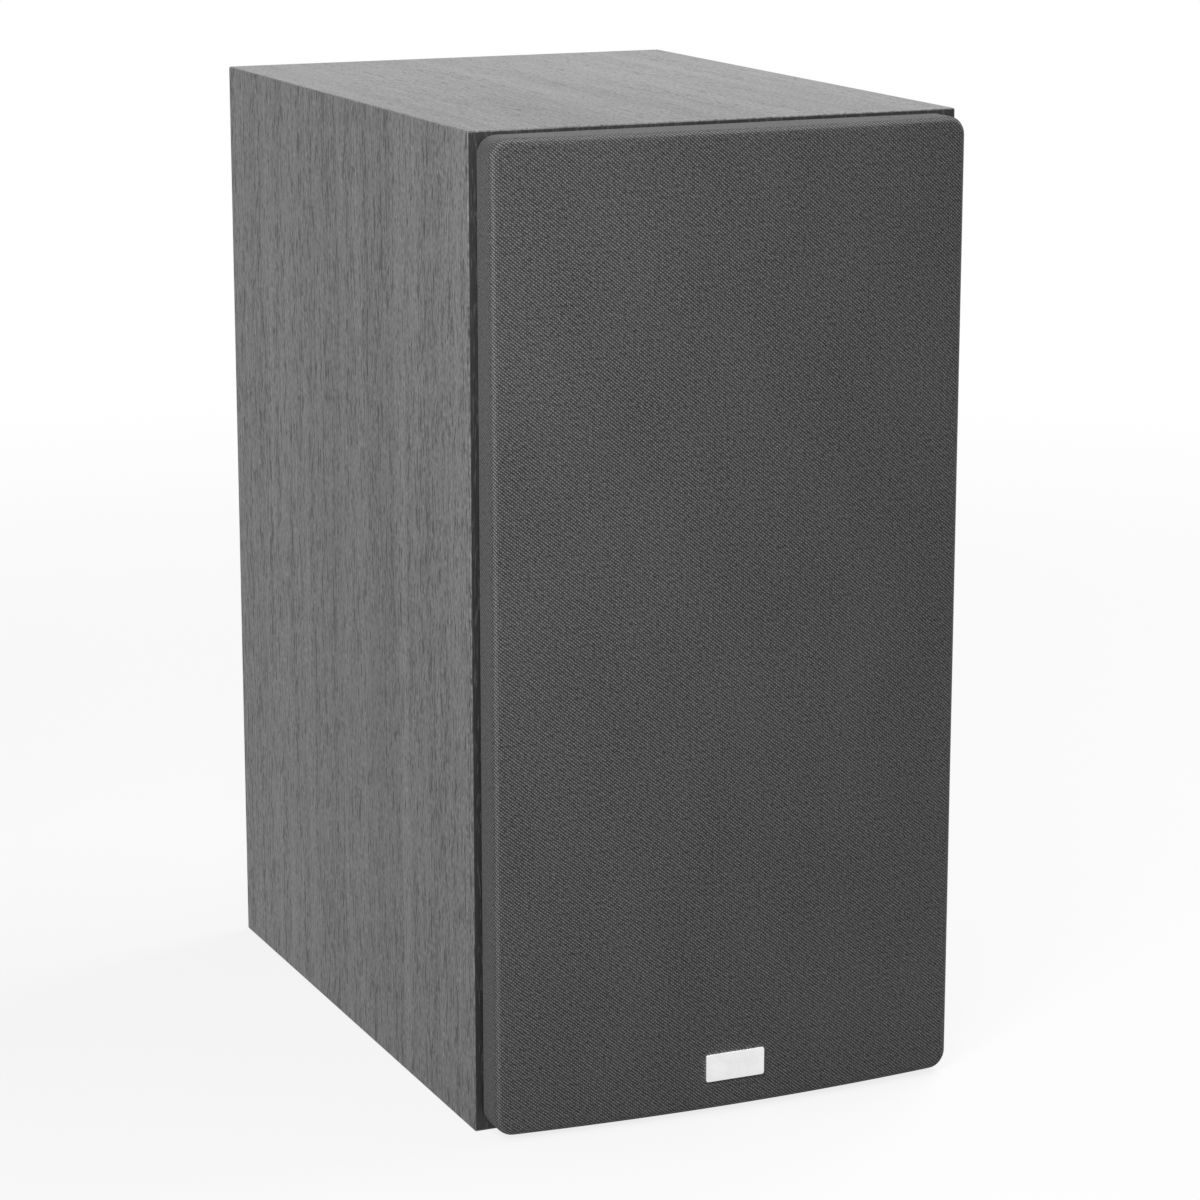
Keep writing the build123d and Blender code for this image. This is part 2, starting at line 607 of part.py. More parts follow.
def basket_shell():
    """Flange, surround land, skirt, slanted wall, spider land and magnet cup, before the windows."""
    skirt_in_r = BASKET_SKIRT_R - BASKET_WALL
    slant_in_r = SPIDER_LAND_R - BASKET_WALL
    cup_in_r = BASKET_CUP_R - BASKET_WALL
    hole_r = TOP_PLATE_HOLE_R + BASKET_HOLE_LIP
    rim = SPIDER_LAND_DEPTH - SPIDER_RIM
    land_back = SPIDER_LAND_DEPTH + BASKET_WALL
    cup_start = SPIDER_LAND_DEPTH + CUP_SHOULDER
    return turned(
        (WOOFER_R, -WOOFER_FLANGE),
        (WOOFER_R, -EDGE_BEVEL),
        (WOOFER_R - EDGE_BEVEL, 0),
        (LAND_R, 0),
        (LAND_R, -LAND_DEPTH),
        (skirt_in_r, -LAND_DEPTH),
        (skirt_in_r, EDGE_BEVEL - BASKET_SKIRT_DEPTH),
        (slant_in_r, -rim),
        (slant_in_r, -SPIDER_LAND_DEPTH),
        (SPIDER_LAND_IN_R, -SPIDER_LAND_DEPTH),
        (cup_in_r, -cup_start),
        (cup_in_r, BASKET_WALL - BASKET_DEPTH),
        (hole_r, BASKET_WALL - BASKET_DEPTH),
        (hole_r, -BASKET_DEPTH),
        (BASKET_CUP_R, -BASKET_DEPTH),
        (BASKET_CUP_R, -cup_start - BASKET_WALL / 2),
        (SPIDER_LAND_IN_R + BASKET_WALL, -land_back),
        (SPIDER_LAND_R, -land_back),
        (SPIDER_LAND_R, -rim - EDGE_BEVEL),
        (BASKET_SKIRT_R, -BASKET_SKIRT_DEPTH),
        (BASKET_SKIRT_R, -WOOFER_FLANGE),
    )


def basket_window():
    """Opening between two spokes, cut through the slanted wall from behind."""
    half = radians(180.0 / BASKET_SPOKES - SPOKE_HALF_ANGLE)
    reach = 2 * BASKET_SKIRT_R
    sector = make_face(
        Polyline(
            (WINDOW_IN_R * cos(half), -WINDOW_IN_R * sin(half)),
            (reach * cos(half), -reach * sin(half)),
            (reach * cos(half), reach * sin(half)),
            (WINDOW_IN_R * cos(half), WINDOW_IN_R * sin(half)),
            close=True,
        )
    )
    sector = fillet(sector.vertices().group_by(Axis.X)[0], WINDOW_CORNER_R)
    return Pos(0, 0, -WINDOW_BOTTOM_DEPTH) * extrude(sector, WINDOW_BOTTOM_DEPTH - WINDOW_TOP_DEPTH)


def basket_rib():
    """Rib down the back of a spoke, its root inside the walls that it stands on."""
    root = BASKET_WALL / 2
    land_root = SPIDER_LAND_DEPTH + root
    cup_root_r = BASKET_CUP_R - root
    face = make_face(
        Plane.XZ
        * Polyline(
            (BASKET_SKIRT_R - root, -BASKET_SKIRT_DEPTH),
            (BASKET_SKIRT_R, -BASKET_SKIRT_DEPTH),
            (BASKET_SKIRT_R, -BASKET_SKIRT_DEPTH - RIB_DROP),
            (BASKET_CUP_R + RIB_FOOT, -BASKET_DEPTH),
            (cup_root_r, -BASKET_DEPTH),
            (cup_root_r, -land_root - CUP_SHOULDER),
            (SPIDER_LAND_IN_R + root, -land_root),
            (SPIDER_LAND_R - root, -land_root),
            (SPIDER_LAND_R - root, -land_root + SPIDER_RIM),
            close=True,
        )
    )
    return extrude(face, RIB / 2, both=True)


def woofer_basket():
    """Cast basket with six ribbed spokes."""
    cage = basket_shell()
    window = basket_window()
    rib = basket_rib()
    step = 360.0 / BASKET_SPOKES
    for i in range(BASKET_SPOKES):
        cage -= Rot(0, 0, i * step) * window
        cage += Rot(0, 0, (i + 0.5) * step) * rib
    cage -= screws(WOOFER_SCREW_PLACES, WOOFER_SCREW, PART_GAP)
    return WOOFER_AT * cage


def woofer_gasket():
    """Foam ring between the flange and the baffle's recess."""
    ring = disc(WOOFER_R, -WOOFER_FLANGE - WOOFER_GASKET, -WOOFER_FLANGE, WOOFER_CUTOUT_R)
    return WOOFER_AT * (ring - screws(WOOFER_SCREW_PLACES, WOOFER_SCREW, PART_GAP))


def woofer_surround():
    """Rubber half roll with a rim on the basket's land and a lip on the cone."""
    base = -LAND_DEPTH
    top = base + ROLL_WALL
    low_r = ROLL_MIDDLE_R - ROLL_R
    high_r = ROLL_MIDDLE_R + ROLL_R
    over = (ROLL_MIDDLE_R, top + ROLL_R)
    under = (ROLL_MIDDLE_R, top + ROLL_R - ROLL_WALL)
    rim_r = LAND_R - SEAT_GAP
    lip_r = CONE_R - SURROUND_LIP
    ring = turned_edges(
        Line((rim_r, base), (rim_r, top)),
        Line((rim_r, top), (high_r, top)),
        ThreePointArc((high_r, top), over, (low_r, top)),
        Line((low_r, top), (lip_r, top)),
        Line((lip_r, top), (lip_r, base)),
        Line((lip_r, base), (low_r + ROLL_WALL, base)),
        ThreePointArc((low_r + ROLL_WALL, base), under, (high_r - ROLL_WALL, base)),
        Line((high_r - ROLL_WALL, base), (rim_r, base)),
    )
    return WOOFER_AT * ring


def woofer_cone():
    """Thin cone with a flared side and a flat edge for the surround, glued to the former at its neck."""
    rim, middle, neck = cone_line(0)
    low_rim, low_middle, low_neck = cone_line(CONE_WALL)
    edge = (CONE_R, rim.Y)
    low_edge = (CONE_R, low_rim.Y)
    shell = turned_edges(
        ThreePointArc(rim, middle, neck),
        Line(neck, low_neck),
        ThreePointArc(low_neck, low_middle, low_rim),
        Line(low_rim, low_edge),
        Line(low_edge, edge),
        Line(edge, rim),
    )
    return WOOFER_AT * shell


def cone_front_depth(radius):
    """Depth of the cone's front face at a radius, on the arc through its rim, middle and neck."""
    rim, middle, neck = cone_line(0)
    chord = (neck - rim).length
    bow_r = chord**2 / (8 * CONE_SAG) + CONE_SAG / 2
    along = (neck - rim).normalized()
    centre = middle - Vector(along.Y, -along.X) * bow_r
    return -(centre.Y + sqrt(bow_r**2 - (radius - centre.X) ** 2))


def woofer_dust_cap():
    """Domed cap over the former, its foot on the cone."""
    in_r = CAP_R - CAP_WALL
    foot = -cone_front_depth(CAP_R) + PART_GAP
    in_foot = -cone_front_depth(in_r) + PART_GAP
    top = foot + CAP_RISE
    dome = turned_edges(
        dome_arc(CAP_R, foot, top),
        Line((0, top), (0, top - CAP_WALL)),
        dome_arc(in_r, in_foot, top - CAP_WALL),
        Line((in_r, in_foot), (CAP_R, foot)),
    )
    return WOOFER_AT * dome


def woofer_spider():
    """Corrugated disc from the basket's land to a collar on the former."""
    rim_r = SPIDER_LAND_R - BASKET_WALL - PART_GAP
    start_r = SPIDER_LAND_IN_R
    neck_r = COIL_OUT_R + PART_GAP
    end_r = neck_r + SPIDER_WALL + 1
    base = -SPIDER_LAND_DEPTH
    steps = 2 * SPIDER_WAVES
    under = [(rim_r, base), (start_r, base)]
    for i in range(1, steps):
        lift = SPIDER_WAVE_RISE / 2 * (1 if i % 2 else -1)
        under.append((start_r + (end_r - start_r) * i / steps, base + lift))
    under += [(end_r, base), (neck_r, base)]
    over = [(neck_r, base + SPIDER_COLLAR), (neck_r + SPIDER_WALL, base + SPIDER_COLLAR)]
    over += [(neck_r + SPIDER_WALL, base + SPIDER_WALL)]
    over += [(r, z + SPIDER_WALL) for r, z in reversed(under[:-1])]
    return WOOFER_AT * turned(*under, *over)


def woofer_former():
    """Tube that carries the winding, from the cone's neck into the magnet's gap."""
    return WOOFER_AT * disc(COIL_OUT_R, -FORMER_DEPTH, -FORMER_TOP_DEPTH, COIL_IN_R)


def woofer_winding():
    """Wound copper, centred on the top plate."""
    middle = -TOP_PLATE_DEPTH - TOP_PLATE / 2
    ring = disc(WINDING_OUT_R, middle - WINDING / 2, middle + WINDING / 2, COIL_OUT_R + PART_GAP / 5)
    return WOOFER_AT * ring


def woofer_top_plate():
    """Steel ring round the coil."""
    return WOOFER_AT * disc(TOP_PLATE_R, -MAGNET_DEPTH, -TOP_PLATE_DEPTH, TOP_PLATE_HOLE_R)


def woofer_magnet():
    """Ferrite ring with bevelled edges."""
    hole_r = TOP_PLATE_HOLE_R + MAGNET_STEP
    face_r = MAGNET_R - MAGNET_BEVEL
    ring = turned(
        (hole_r, -MAGNET_DEPTH),
        (face_r, -MAGNET_DEPTH),
        (MAGNET_R, -MAGNET_DEPTH - MAGNET_BEVEL),
        (MAGNET_R, MAGNET_BEVEL - YOKE_DEPTH),
        (face_r, -YOKE_DEPTH),
        (hole_r, -YOKE_DEPTH),
    )
    return WOOFER_AT * ring


def woofer_yoke():
    """Back plate and vented pole in one piece."""
    pole_r = COIL_IN_R - COIL_AIR
    pole_end = POLE_RISE - TOP_PLATE_DEPTH
    back = -YOKE_DEPTH - YOKE
    body = turned(
        (POLE_VENT_R, back),
        (YOKE_R - EDGE_BEVEL, back),
        (YOKE_R, back + EDGE_BEVEL),
        (YOKE_R, -YOKE_DEPTH),
        (pole_r, -YOKE_DEPTH),
        (pole_r, pole_end),
        (POLE_VENT_R, pole_end),
    )
    return WOOFER_AT * body


def woofer_tag_strip():
    """Insulating strip on the side of the basket's magnet cup."""
    place = Pos(BASKET_CUP_R + TAG_STRIP_T / 2, 0, -TAG_DEPTH)
    return WOOFER_AT * place * Box(TAG_STRIP_T, TAG_STRIP_W, TAG_STRIP_H)


def woofer_tags():
    """Two solder tags standing out of the strip."""
    x = BASKET_CUP_R + TAG_STRIP_T + TAG / 2
    return [
        WOOFER_AT * Pos(x, side * TAG_SPACING / 2, -TAG_DEPTH) * Box(TAG, TAG_W, TAG_T) for side in (-1, 1)
    ]


# ---- tweeter -------------------------------------------------------------------------------------
def tweeter_faceplate():
    """Moulded faceplate with a flared horn round the dome and a seat for the motor."""
    mouth = (HORN_MOUTH_R, 0)
    throat = (HORN_THROAT_R, -HORN_DEPTH)
    seat = -TWEETER_SEAT_DEPTH
    plate = turned_edges(
        Polyline(
            mouth,
            (TWEETER_R - EDGE_BEVEL, 0),
            (TWEETER_R, -EDGE_BEVEL),
            (TWEETER_R, -TWEETER_FLANGE),
            (HORN_BACK_R, -TWEETER_FLANGE),
            (HORN_BACK_R, seat + HORN_BACK_BEVEL),
            (HORN_BACK_R - HORN_BACK_BEVEL, seat),
            (HORN_THROAT_R, seat),
            throat,
        ),
        SagittaArc(throat, mouth, HORN_BOW),
    )
    return TWEETER_AT * (plate - screws(TWEETER_SCREW_PLACES, TWEETER_SCREW, PART_GAP))


def tweeter_surround():
    """Small half roll between the dome's skirt and the top plate."""
    base = -TWEETER_SEAT_DEPTH
    top = base + TWEETER_ROLL_WALL
    lip_r = DOME_R + PART_GAP
    low_r = TWEETER_ROLL_IN_R
    middle_r = low_r + TWEETER_ROLL_R
    high_r = TWEETER_ROLL_OUT_R
    rim_r = HORN_THROAT_R - PART_GAP
    wall = TWEETER_ROLL_WALL
    ring = turned_edges(
        Line((rim_r, base), (rim_r, top)),
        Line((rim_r, top), (high_r, top)),
        ThreePointArc((high_r, top), (middle_r, top + TWEETER_ROLL_R), (low_r, top)),
        Line((low_r, top), (lip_r, top)),
        Line((lip_r, top), (lip_r, base)),
        Line((lip_r, base), (low_r + wall, base)),
        ThreePointArc((low_r + wall, base), (middle_r, base + TWEETER_ROLL_R), (high_r - wall, base)),
        Line((high_r - wall, base), (rim_r, base)),
    )
    return TWEETER_AT * ring


def tweeter_dome():
    """Thin dome with a short skirt that goes over the coil's former."""
    foot = -DOME_BASE_DEPTH
    top = foot + DOME_RISE
    skirt = foot - DOME_SKIRT
    dome = turned_edges(
        dome_arc(DOME_R, foot, top),
        Line((0, top), (0, top - DOME_WALL)),
        dome_arc(DOME_IN_R, foot, top - DOME_WALL),
        Polyline((DOME_IN_R, foot), (DOME_IN_R, skirt), (DOME_R, skirt), (DOME_R, foot)),
    )
    return TWEETER_AT * dome


def tweeter_former():
    """Tube of the tweeter's coil, inside the dome's skirt."""
    out_r = DOME_IN_R - PART_GAP / 5
    return TWEETER_AT * disc(out_r, -TWEETER_FORMER_DEPTH, -DOME_BASE_DEPTH, out_r - TWEETER_FORMER_WALL)


def tweeter_winding():
    """Tweeter's wound coil, centred on its top plate."""
    middle = -TWEETER_SEAT_DEPTH - TWEETER_PLATE / 2
    low = middle - TWEETER_WINDING / 2
    return TWEETER_AT * disc(DOME_IN_R + TWEETER_WINDING_WALL, low, low + TWEETER_WINDING, DOME_IN_R)


def tweeter_top_plate():
    """Steel ring behind the faceplate."""
    return TWEETER_AT * disc(
        TWEETER_PLATE_R, -TWEETER_MAGNET_DEPTH, -TWEETER_SEAT_DEPTH, TWEETER_HOLE_R
    )


def tweeter_magnet():
    """Tweeter's ring magnet."""
    hole_r = TWEETER_HOLE_R + TWEETER_MAGNET_STEP
    return TWEETER_AT * disc(TWEETER_MAGNET_R, -TWEETER_YOKE_DEPTH, -TWEETER_MAGNET_DEPTH, hole_r)


def tweeter_yoke():
    """Tweeter's back plate and vented pole."""
    pole_r = DOME_IN_R - TWEETER_FORMER_WALL - TWEETER_COIL_AIR
    pole_end = -TWEETER_SEAT_DEPTH - TWEETER_POLE_DROP
    back = -TWEETER_YOKE_DEPTH - TWEETER_YOKE
    body = turned(
        (TWEETER_VENT_R, back),
        (TWEETER_YOKE_R, back),
        (TWEETER_YOKE_R, -TWEETER_YOKE_DEPTH),
        (pole_r, -TWEETER_YOKE_DEPTH),
        (pole_r, pole_end),
        (TWEETER_VENT_R, pole_end),
    )
    return TWEETER_AT * body


def tweeter_rear_cup():
    """Closed chamber over the magnet, on the top plate."""
    in_r = TWEETER_PLATE_R - CAN_WALL
    start = -TWEETER_MAGNET_DEPTH
    can = turned(
        (0, -CAN_DEPTH),
        (TWEETER_PLATE_R - CAN_BEVEL, -CAN_DEPTH),
        (TWEETER_PLATE_R, CAN_BEVEL - CAN_DEPTH),
        (TWEETER_PLATE_R, start),
        (in_r, start),
        (in_r, CAN_WALL - CAN_DEPTH),
        (0, CAN_WALL - CAN_DEPTH),
    )
    return TWEETER_AT * can


def tweeter_tags():
    """Two solder tags in the rear cup's end."""
    return [
        TWEETER_AT * Pos(side * TAG_SPACING / 2, 0, -CAN_DEPTH - TAG / 2) * Box(TAG_T, TAG_W, TAG)
        for side in (-1, 1)
    ]


# ---- slot port -----------------------------------------------------------------------------------
def port_mouth(gap, depth):
    """Outline of the port's thick mouth, widened by gap."""
    wall = 2 * (PORT_FLARE_R + PORT_FLARE_WALL + gap)
    corner = SLOT_CORNER_R + PORT_FLARE_R + gap
    return slab(SLOT_W + wall, SLOT_H + wall, -depth, 0, corner)


def port_flange(gap, proud=0.0):
    """The port's flange, widened by gap and raised by proud to cut its own recess."""
    wall = 2 * (PORT_FLARE_R + PORT_FLARE_WALL + PORT_FLANGE_LIP + gap)
    corner = SLOT_CORNER_R + PORT_FLARE_R + PORT_FLANGE_LIP + gap
    return slab(SLOT_W + wall, SLOT_H + wall, -PORT_FLANGE, proud, corner)


def slot_port():
    """Moulded duct with a flange, flared at the mouth and at its inner end."""
    duct = slab(
        SLOT_W + 2 * PORT_WALL, SLOT_H + 2 * PORT_WALL, -PORT_LENGTH, 0, SLOT_CORNER_R + PORT_WALL
    )
    inner_end = Pos(0, 0, PORT_BLOCK - PORT_LENGTH) * port_mouth(0, PORT_BLOCK)
    body = duct + port_flange(0) + port_mouth(0, PORT_BLOCK) + inner_end
    body -= slab(SLOT_W, SLOT_H, -PORT_LENGTH - 1, 1, SLOT_CORNER_R)
    for end in (0, -1):
        face = body.faces().filter_by(Plane.XY).sort_by(Axis.Z)[-1 if end == 0 else 0]
        body = fillet(face.inner_wires()[0].edges(), PORT_FLARE_R)
    return PORT_AT * body


# ---- terminal cup --------------------------------------------------------------------------------
def terminal_cup():
    """Flanged pocket with drafted walls, hexagonal post bosses and screw holes."""
    flange = slab(CUP_W, CUP_H, CUP_GASKET, CUP_FACE, CUP_CORNER_R)
    flange = fillet(flange.faces().sort_by(Axis.Z)[-1].edges(), CUP_EDGE_R)
    bottom = -POCKET_DEPTH - CUP_FLOOR
    wall = 2 * CUP_WALL
    shell = tapered(
        POCKET_W + wall, POCKET_H + wall, POCKET_CORNER_R + CUP_WALL, bottom, CUP_GASKET, POCKET_DRAFT
    )
    pocket = tapered(POCKET_W, POCKET_H, POCKET_CORNER_R, -POCKET_DEPTH, CUP_FACE, POCKET_DRAFT)
    cup = flange + shell - pocket
    boss = extrude(RegularPolygon(POST_BOSS_R, 6), POST_BOSS + 1)
    for _, x in POST_PLACES:
        cup += Pos(x, 0, -POCKET_DEPTH - 1) * boss
        cup -= Pos(x, 0, 0) * disc(POST_STUD_R + PART_GAP, bottom - 1, 0)
    cup -= [Pos(0, 0, CUP_FACE) * hole for hole in screws(CUP_SCREW_PLACES, CUP_SCREW, PART_GAP)]
    return CUP_AT * cup


def cup_gasket():
    """Foam frame between the cup's flange and the back panel."""
    gap = 2 * (CUP_WALL + CUP_CUTOUT_GAP)
    ring = slab(CUP_W, CUP_H, 0, CUP_GASKET, CUP_CORNER_R)
    ring -= slab(POCKET_W + gap, POCKET_H + gap, -1, CUP_GASKET + 1, POCKET_CORNER_R + gap / 2)
    ring -= [Pos(0, 0, CUP_FACE) * hole for hole in screws(CUP_SCREW_PLACES, CUP_SCREW, PART_GAP)]
    return CUP_AT * ring


def binding_posts():
    """Metal posts: stud through the cup, flange, wire hole, and a plug socket in the end."""
    shoulder = POST_BOSS + POST_FLANGE
    body = turned(
        (0, -POST_STUD),
        (POST_STUD_R, -POST_STUD),
        (POST_STUD_R, POST_BOSS),
        (POST_FLANGE_R, POST_BOSS),
        (POST_FLANGE_R, shoulder),
        (POST_R, shoulder),
        (POST_R, POST - POST_BEVEL),
        (POST_R - POST_BEVEL, POST),
        (PLUG_BORE_R, POST),
        (PLUG_BORE_R, POST - PLUG_BORE),
        (0, POST - PLUG_BORE),
    )
    wire_hole = Rot(90, 0, 0) * Cylinder(WIRE_HOLE_R, 4 * POST_R)
    body -= Pos(0, 0, shoulder + TURN_GAP + WIRE_HOLE_R) * wire_hole
    return [FLOOR_AT * Pos(x, 0, 0) * body for _, x in POST_PLACES]


def post_nuts():
    """Hexagonal nuts behind the cup's floor."""
    top = -CUP_FLOOR - SOLDER_TAG
    nut = extrude(RegularPolygon(NUT_FLATS / 2, 6, major_radius=False), NUT)
    nut = Pos(0, 0, top - NUT) * nut - disc(POST_STUD_R + PART_GAP, top - NUT - 1, top + 1)
    return [FLOOR_AT * Pos(x, 0, 0) * nut for _, x in POST_PLACES]


def solder_tags():
    """Ring tags under the nuts, with a tab that points down."""
    low = -CUP_FLOOR - SOLDER_TAG
    tab = Box(SOLDER_TAG_W, SOLDER_TAG_REACH, SOLDER_TAG)
    tag = disc(SOLDER_TAG_R, low, -CUP_FLOOR)
    tag += Pos(0, -SOLDER_TAG_REACH / 2, low + SOLDER_TAG / 2) * tab
    tag -= disc(POST_STUD_R + PART_GAP, low - 1, 0)
    return [FLOOR_AT * Pos(x, 0, 0) * tag for _, x in POST_PLACES]


def clamp_ring(x):
    """Metal ring that clamps the bare wire and slides on the post."""
    return FLOOR_AT * Pos(x, 0, 0) * disc(RING_R, RING_START, RING_START + RING, POST_R + PART_GAP)


def cap_nut(x):
    """Fluted plastic cap, open at its end for a plug."""
    insert_r = POST_R + PART_GAP + INSERT_WALL + PART_GAP
    inside_end = CAP_NUT_END - CAP_NUT_END_T
    cap = turned(
        (insert_r, CAP_NUT_START),
        (CAP_NUT_R - EDGE_BEVEL, CAP_NUT_START),
        (CAP_NUT_R, CAP_NUT_START + EDGE_BEVEL),
        (CAP_NUT_R, CAP_NUT_END - EDGE_BEVEL),
        (CAP_NUT_R - EDGE_BEVEL, CAP_NUT_END),
        (CAP_NUT_HOLE_R, CAP_NUT_END),
        (CAP_NUT_HOLE_R, inside_end),
        (insert_r, inside_end),
    )
    flute_r = CAP_NUT_R + CAP_NUT_FLUTE_R / 2
    for px, py in round_places(flute_r, CAP_NUT_FLUTES):
        cap -= Pos(px, py, 0) * disc(CAP_NUT_FLUTE_R, CAP_NUT_START + CAP_NUT_COLLAR, CAP_NUT_END + 1)
    return FLOOR_AT * Pos(x, 0, 0) * cap


def cap_insert(x):
    """Threaded metal sleeve inside the cap."""
    in_r = POST_R + PART_GAP
    end = CAP_NUT_END - CAP_NUT_END_T - PART_GAP
    return FLOOR_AT * Pos(x, 0, 0) * disc(in_r + INSERT_WALL, CAP_NUT_START, end, in_r)


# ---- crossover -----------------------------------------------------------------------------------
def crossover_board():
    """Circuit board on its four standoffs."""
    board = slab(BOARD_W, BOARD_H, STANDOFF, BOARD_TOP, BOARD_CORNER_R)
    hole = disc(SCREW_SHANK_R + PART_GAP, 0, BOARD_TOP + 1)
    board -= [Pos(x, y, 0) * hole for x, y in STANDOFF_PLACES]
    return BOARD_AT * board


def crossover_standoffs():
    """Spacer sleeves between the board and the back panel."""
    return [
        BOARD_AT * Pos(x, y, 0) * disc(STANDOFF_R, 0, STANDOFF, SCREW_SHANK_R + PART_GAP)
        for x, y in STANDOFF_PLACES
    ]


def crossover_screws():
    """Round-headed screws through the board and standoffs into the back panel."""
    head_top = BOARD_TOP + SCREW_HEAD
    screw_with_head = turned_edges(
        dome_arc(SCREW_HEAD_R, BOARD_TOP, head_top),
        Polyline(
            (0, head_top),
            (0, -BOARD_SCREW),
            (SCREW_SHANK_R, SCREW_POINT - BOARD_SCREW),
            (SCREW_SHANK_R, BOARD_TOP),
            (SCREW_HEAD_R, BOARD_TOP),
        ),
    )
    return [BOARD_AT * Pos(x, y, 0) * screw_with_head for x, y in STANDOFF_PLACES]


def crossover_coils():
    """Air-core coils on cheeked bobbins, axis out of the board."""
    coils = []
    for x, y, radius, hole, length in COIL_SIZES:
        top = BOARD_TOP + length
        wound_r = radius - COIL_CHEEK_LIP
        bobbin = turned(
            (hole, BOARD_TOP),
            (radius, BOARD_TOP),
            (radius, BOARD_TOP + COIL_CHEEK),
            (wound_r, BOARD_TOP + COIL_CHEEK),
            (wound_r, top - COIL_CHEEK),
            (radius, top - COIL_CHEEK),
            (radius, top),
            (hole, top),
        )
        coils.append(BOARD_AT * Pos(x, y, 0) * bobbin)
    return coils


def crossover_capacitors():
    """Film capacitors lying on the board."""
    return [
        BOARD_AT * Pos(x, y, BOARD_TOP + radius) * Rot(0, 90, 0) * Cylinder(radius, length)
        for x, y, radius, length in CAPACITORS
    ]


def crossover_resistors():
    """Ceramic power resistors."""
    width, height, depth = RESISTOR
    return [
        BOARD_AT * Pos(x, y, BOARD_TOP + depth / 2) * Box(width, height, depth) for x, y in RESISTORS
    ]


# ---- internal leads ------------------------------------------------------------------------------
def lead(*points):
    """Insulated wire along straight runs joined by arcs."""
    places = [Vector(*point) for point in points]
    radii = []
    for before, corner, after in zip(places, places[1:], places[2:]):
        way_in = corner - before
        way_out = after - corner
        half_turn = radians(way_in.get_angle(way_out)) / 2
        radii.append(LEAD_BEND * min(way_in.length, way_out.length) / tan(half_turn))
    route = FilletPolyline(*places, radius=radii)
    return sweep(Plane(origin=route @ 0, z_dir=route % 0) * Circle(LEAD_R), path=route)


def input_leads():
    """From the tabs behind the posts up to the crossover board."""
    tag_y = DEPTH / 2 - POCKET_DEPTH - CUP_FLOOR - SOLDER_TAG
    tag_z = CUP_HEIGHT - SOLDER_TAG_REACH + 2 * LEAD_R
    land_z = BOARD_HEIGHT - BOARD_H / 2 + BOARD_LEAD_EDGE
    return [
        lead(
            (x, tag_y, tag_z),
            (x, INPUT_LEAD_RUN_Y, tag_z),
            (x, INPUT_LEAD_RUN_Y, land_z),
            (x, BOARD_FACE_Y, land_z),
        )
        for x in (-POST_SPACING / 2, POST_SPACING / 2)
    ]


def woofer_leads():
    """From the woofer's tags past its magnet to the crossover board."""
    tag_x = BASKET_CUP_R + TAG_STRIP_T + TAG - WOOFER_LEAD_TAG
    tag_y = TAG_DEPTH + TAG_T / 2 - DEPTH / 2
    leads = []
    for side, (land_x, land_y) in zip((1, -1), WOOFER_LEAD_LANDS):
        tag_z = WOOFER_HEIGHT + side * TAG_SPACING / 2
        land_z = BOARD_HEIGHT + land_y
        leads.append(
            lead(
                (tag_x, tag_y, tag_z),
                (tag_x, -33.0, tag_z),
                (54.5, 20.0, tag_z - 8.0),
                (land_x, 82.0, land_z),
                (land_x, BOARD_FACE_Y, land_z),
            )
        )
    return leads


def tweeter_leads():
    """From the tweeter's tags down through the brace's rear window to the crossover board."""
    tag_y = CAN_DEPTH + TAG - DEPTH / 2
    land_z = BOARD_HEIGHT + TWEETER_LEAD_LAND
    return [
        lead(
            (x, tag_y, TWEETER_HEIGHT),
            (x, -10.0, TWEETER_HEIGHT),
            (x, 78.0, 262.0),
            (x, 86.0, land_z),
            (x, BOARD_FACE_Y, land_z),
        )
        for x in (-TAG_SPACING / 2, TAG_SPACING / 2)
    ]


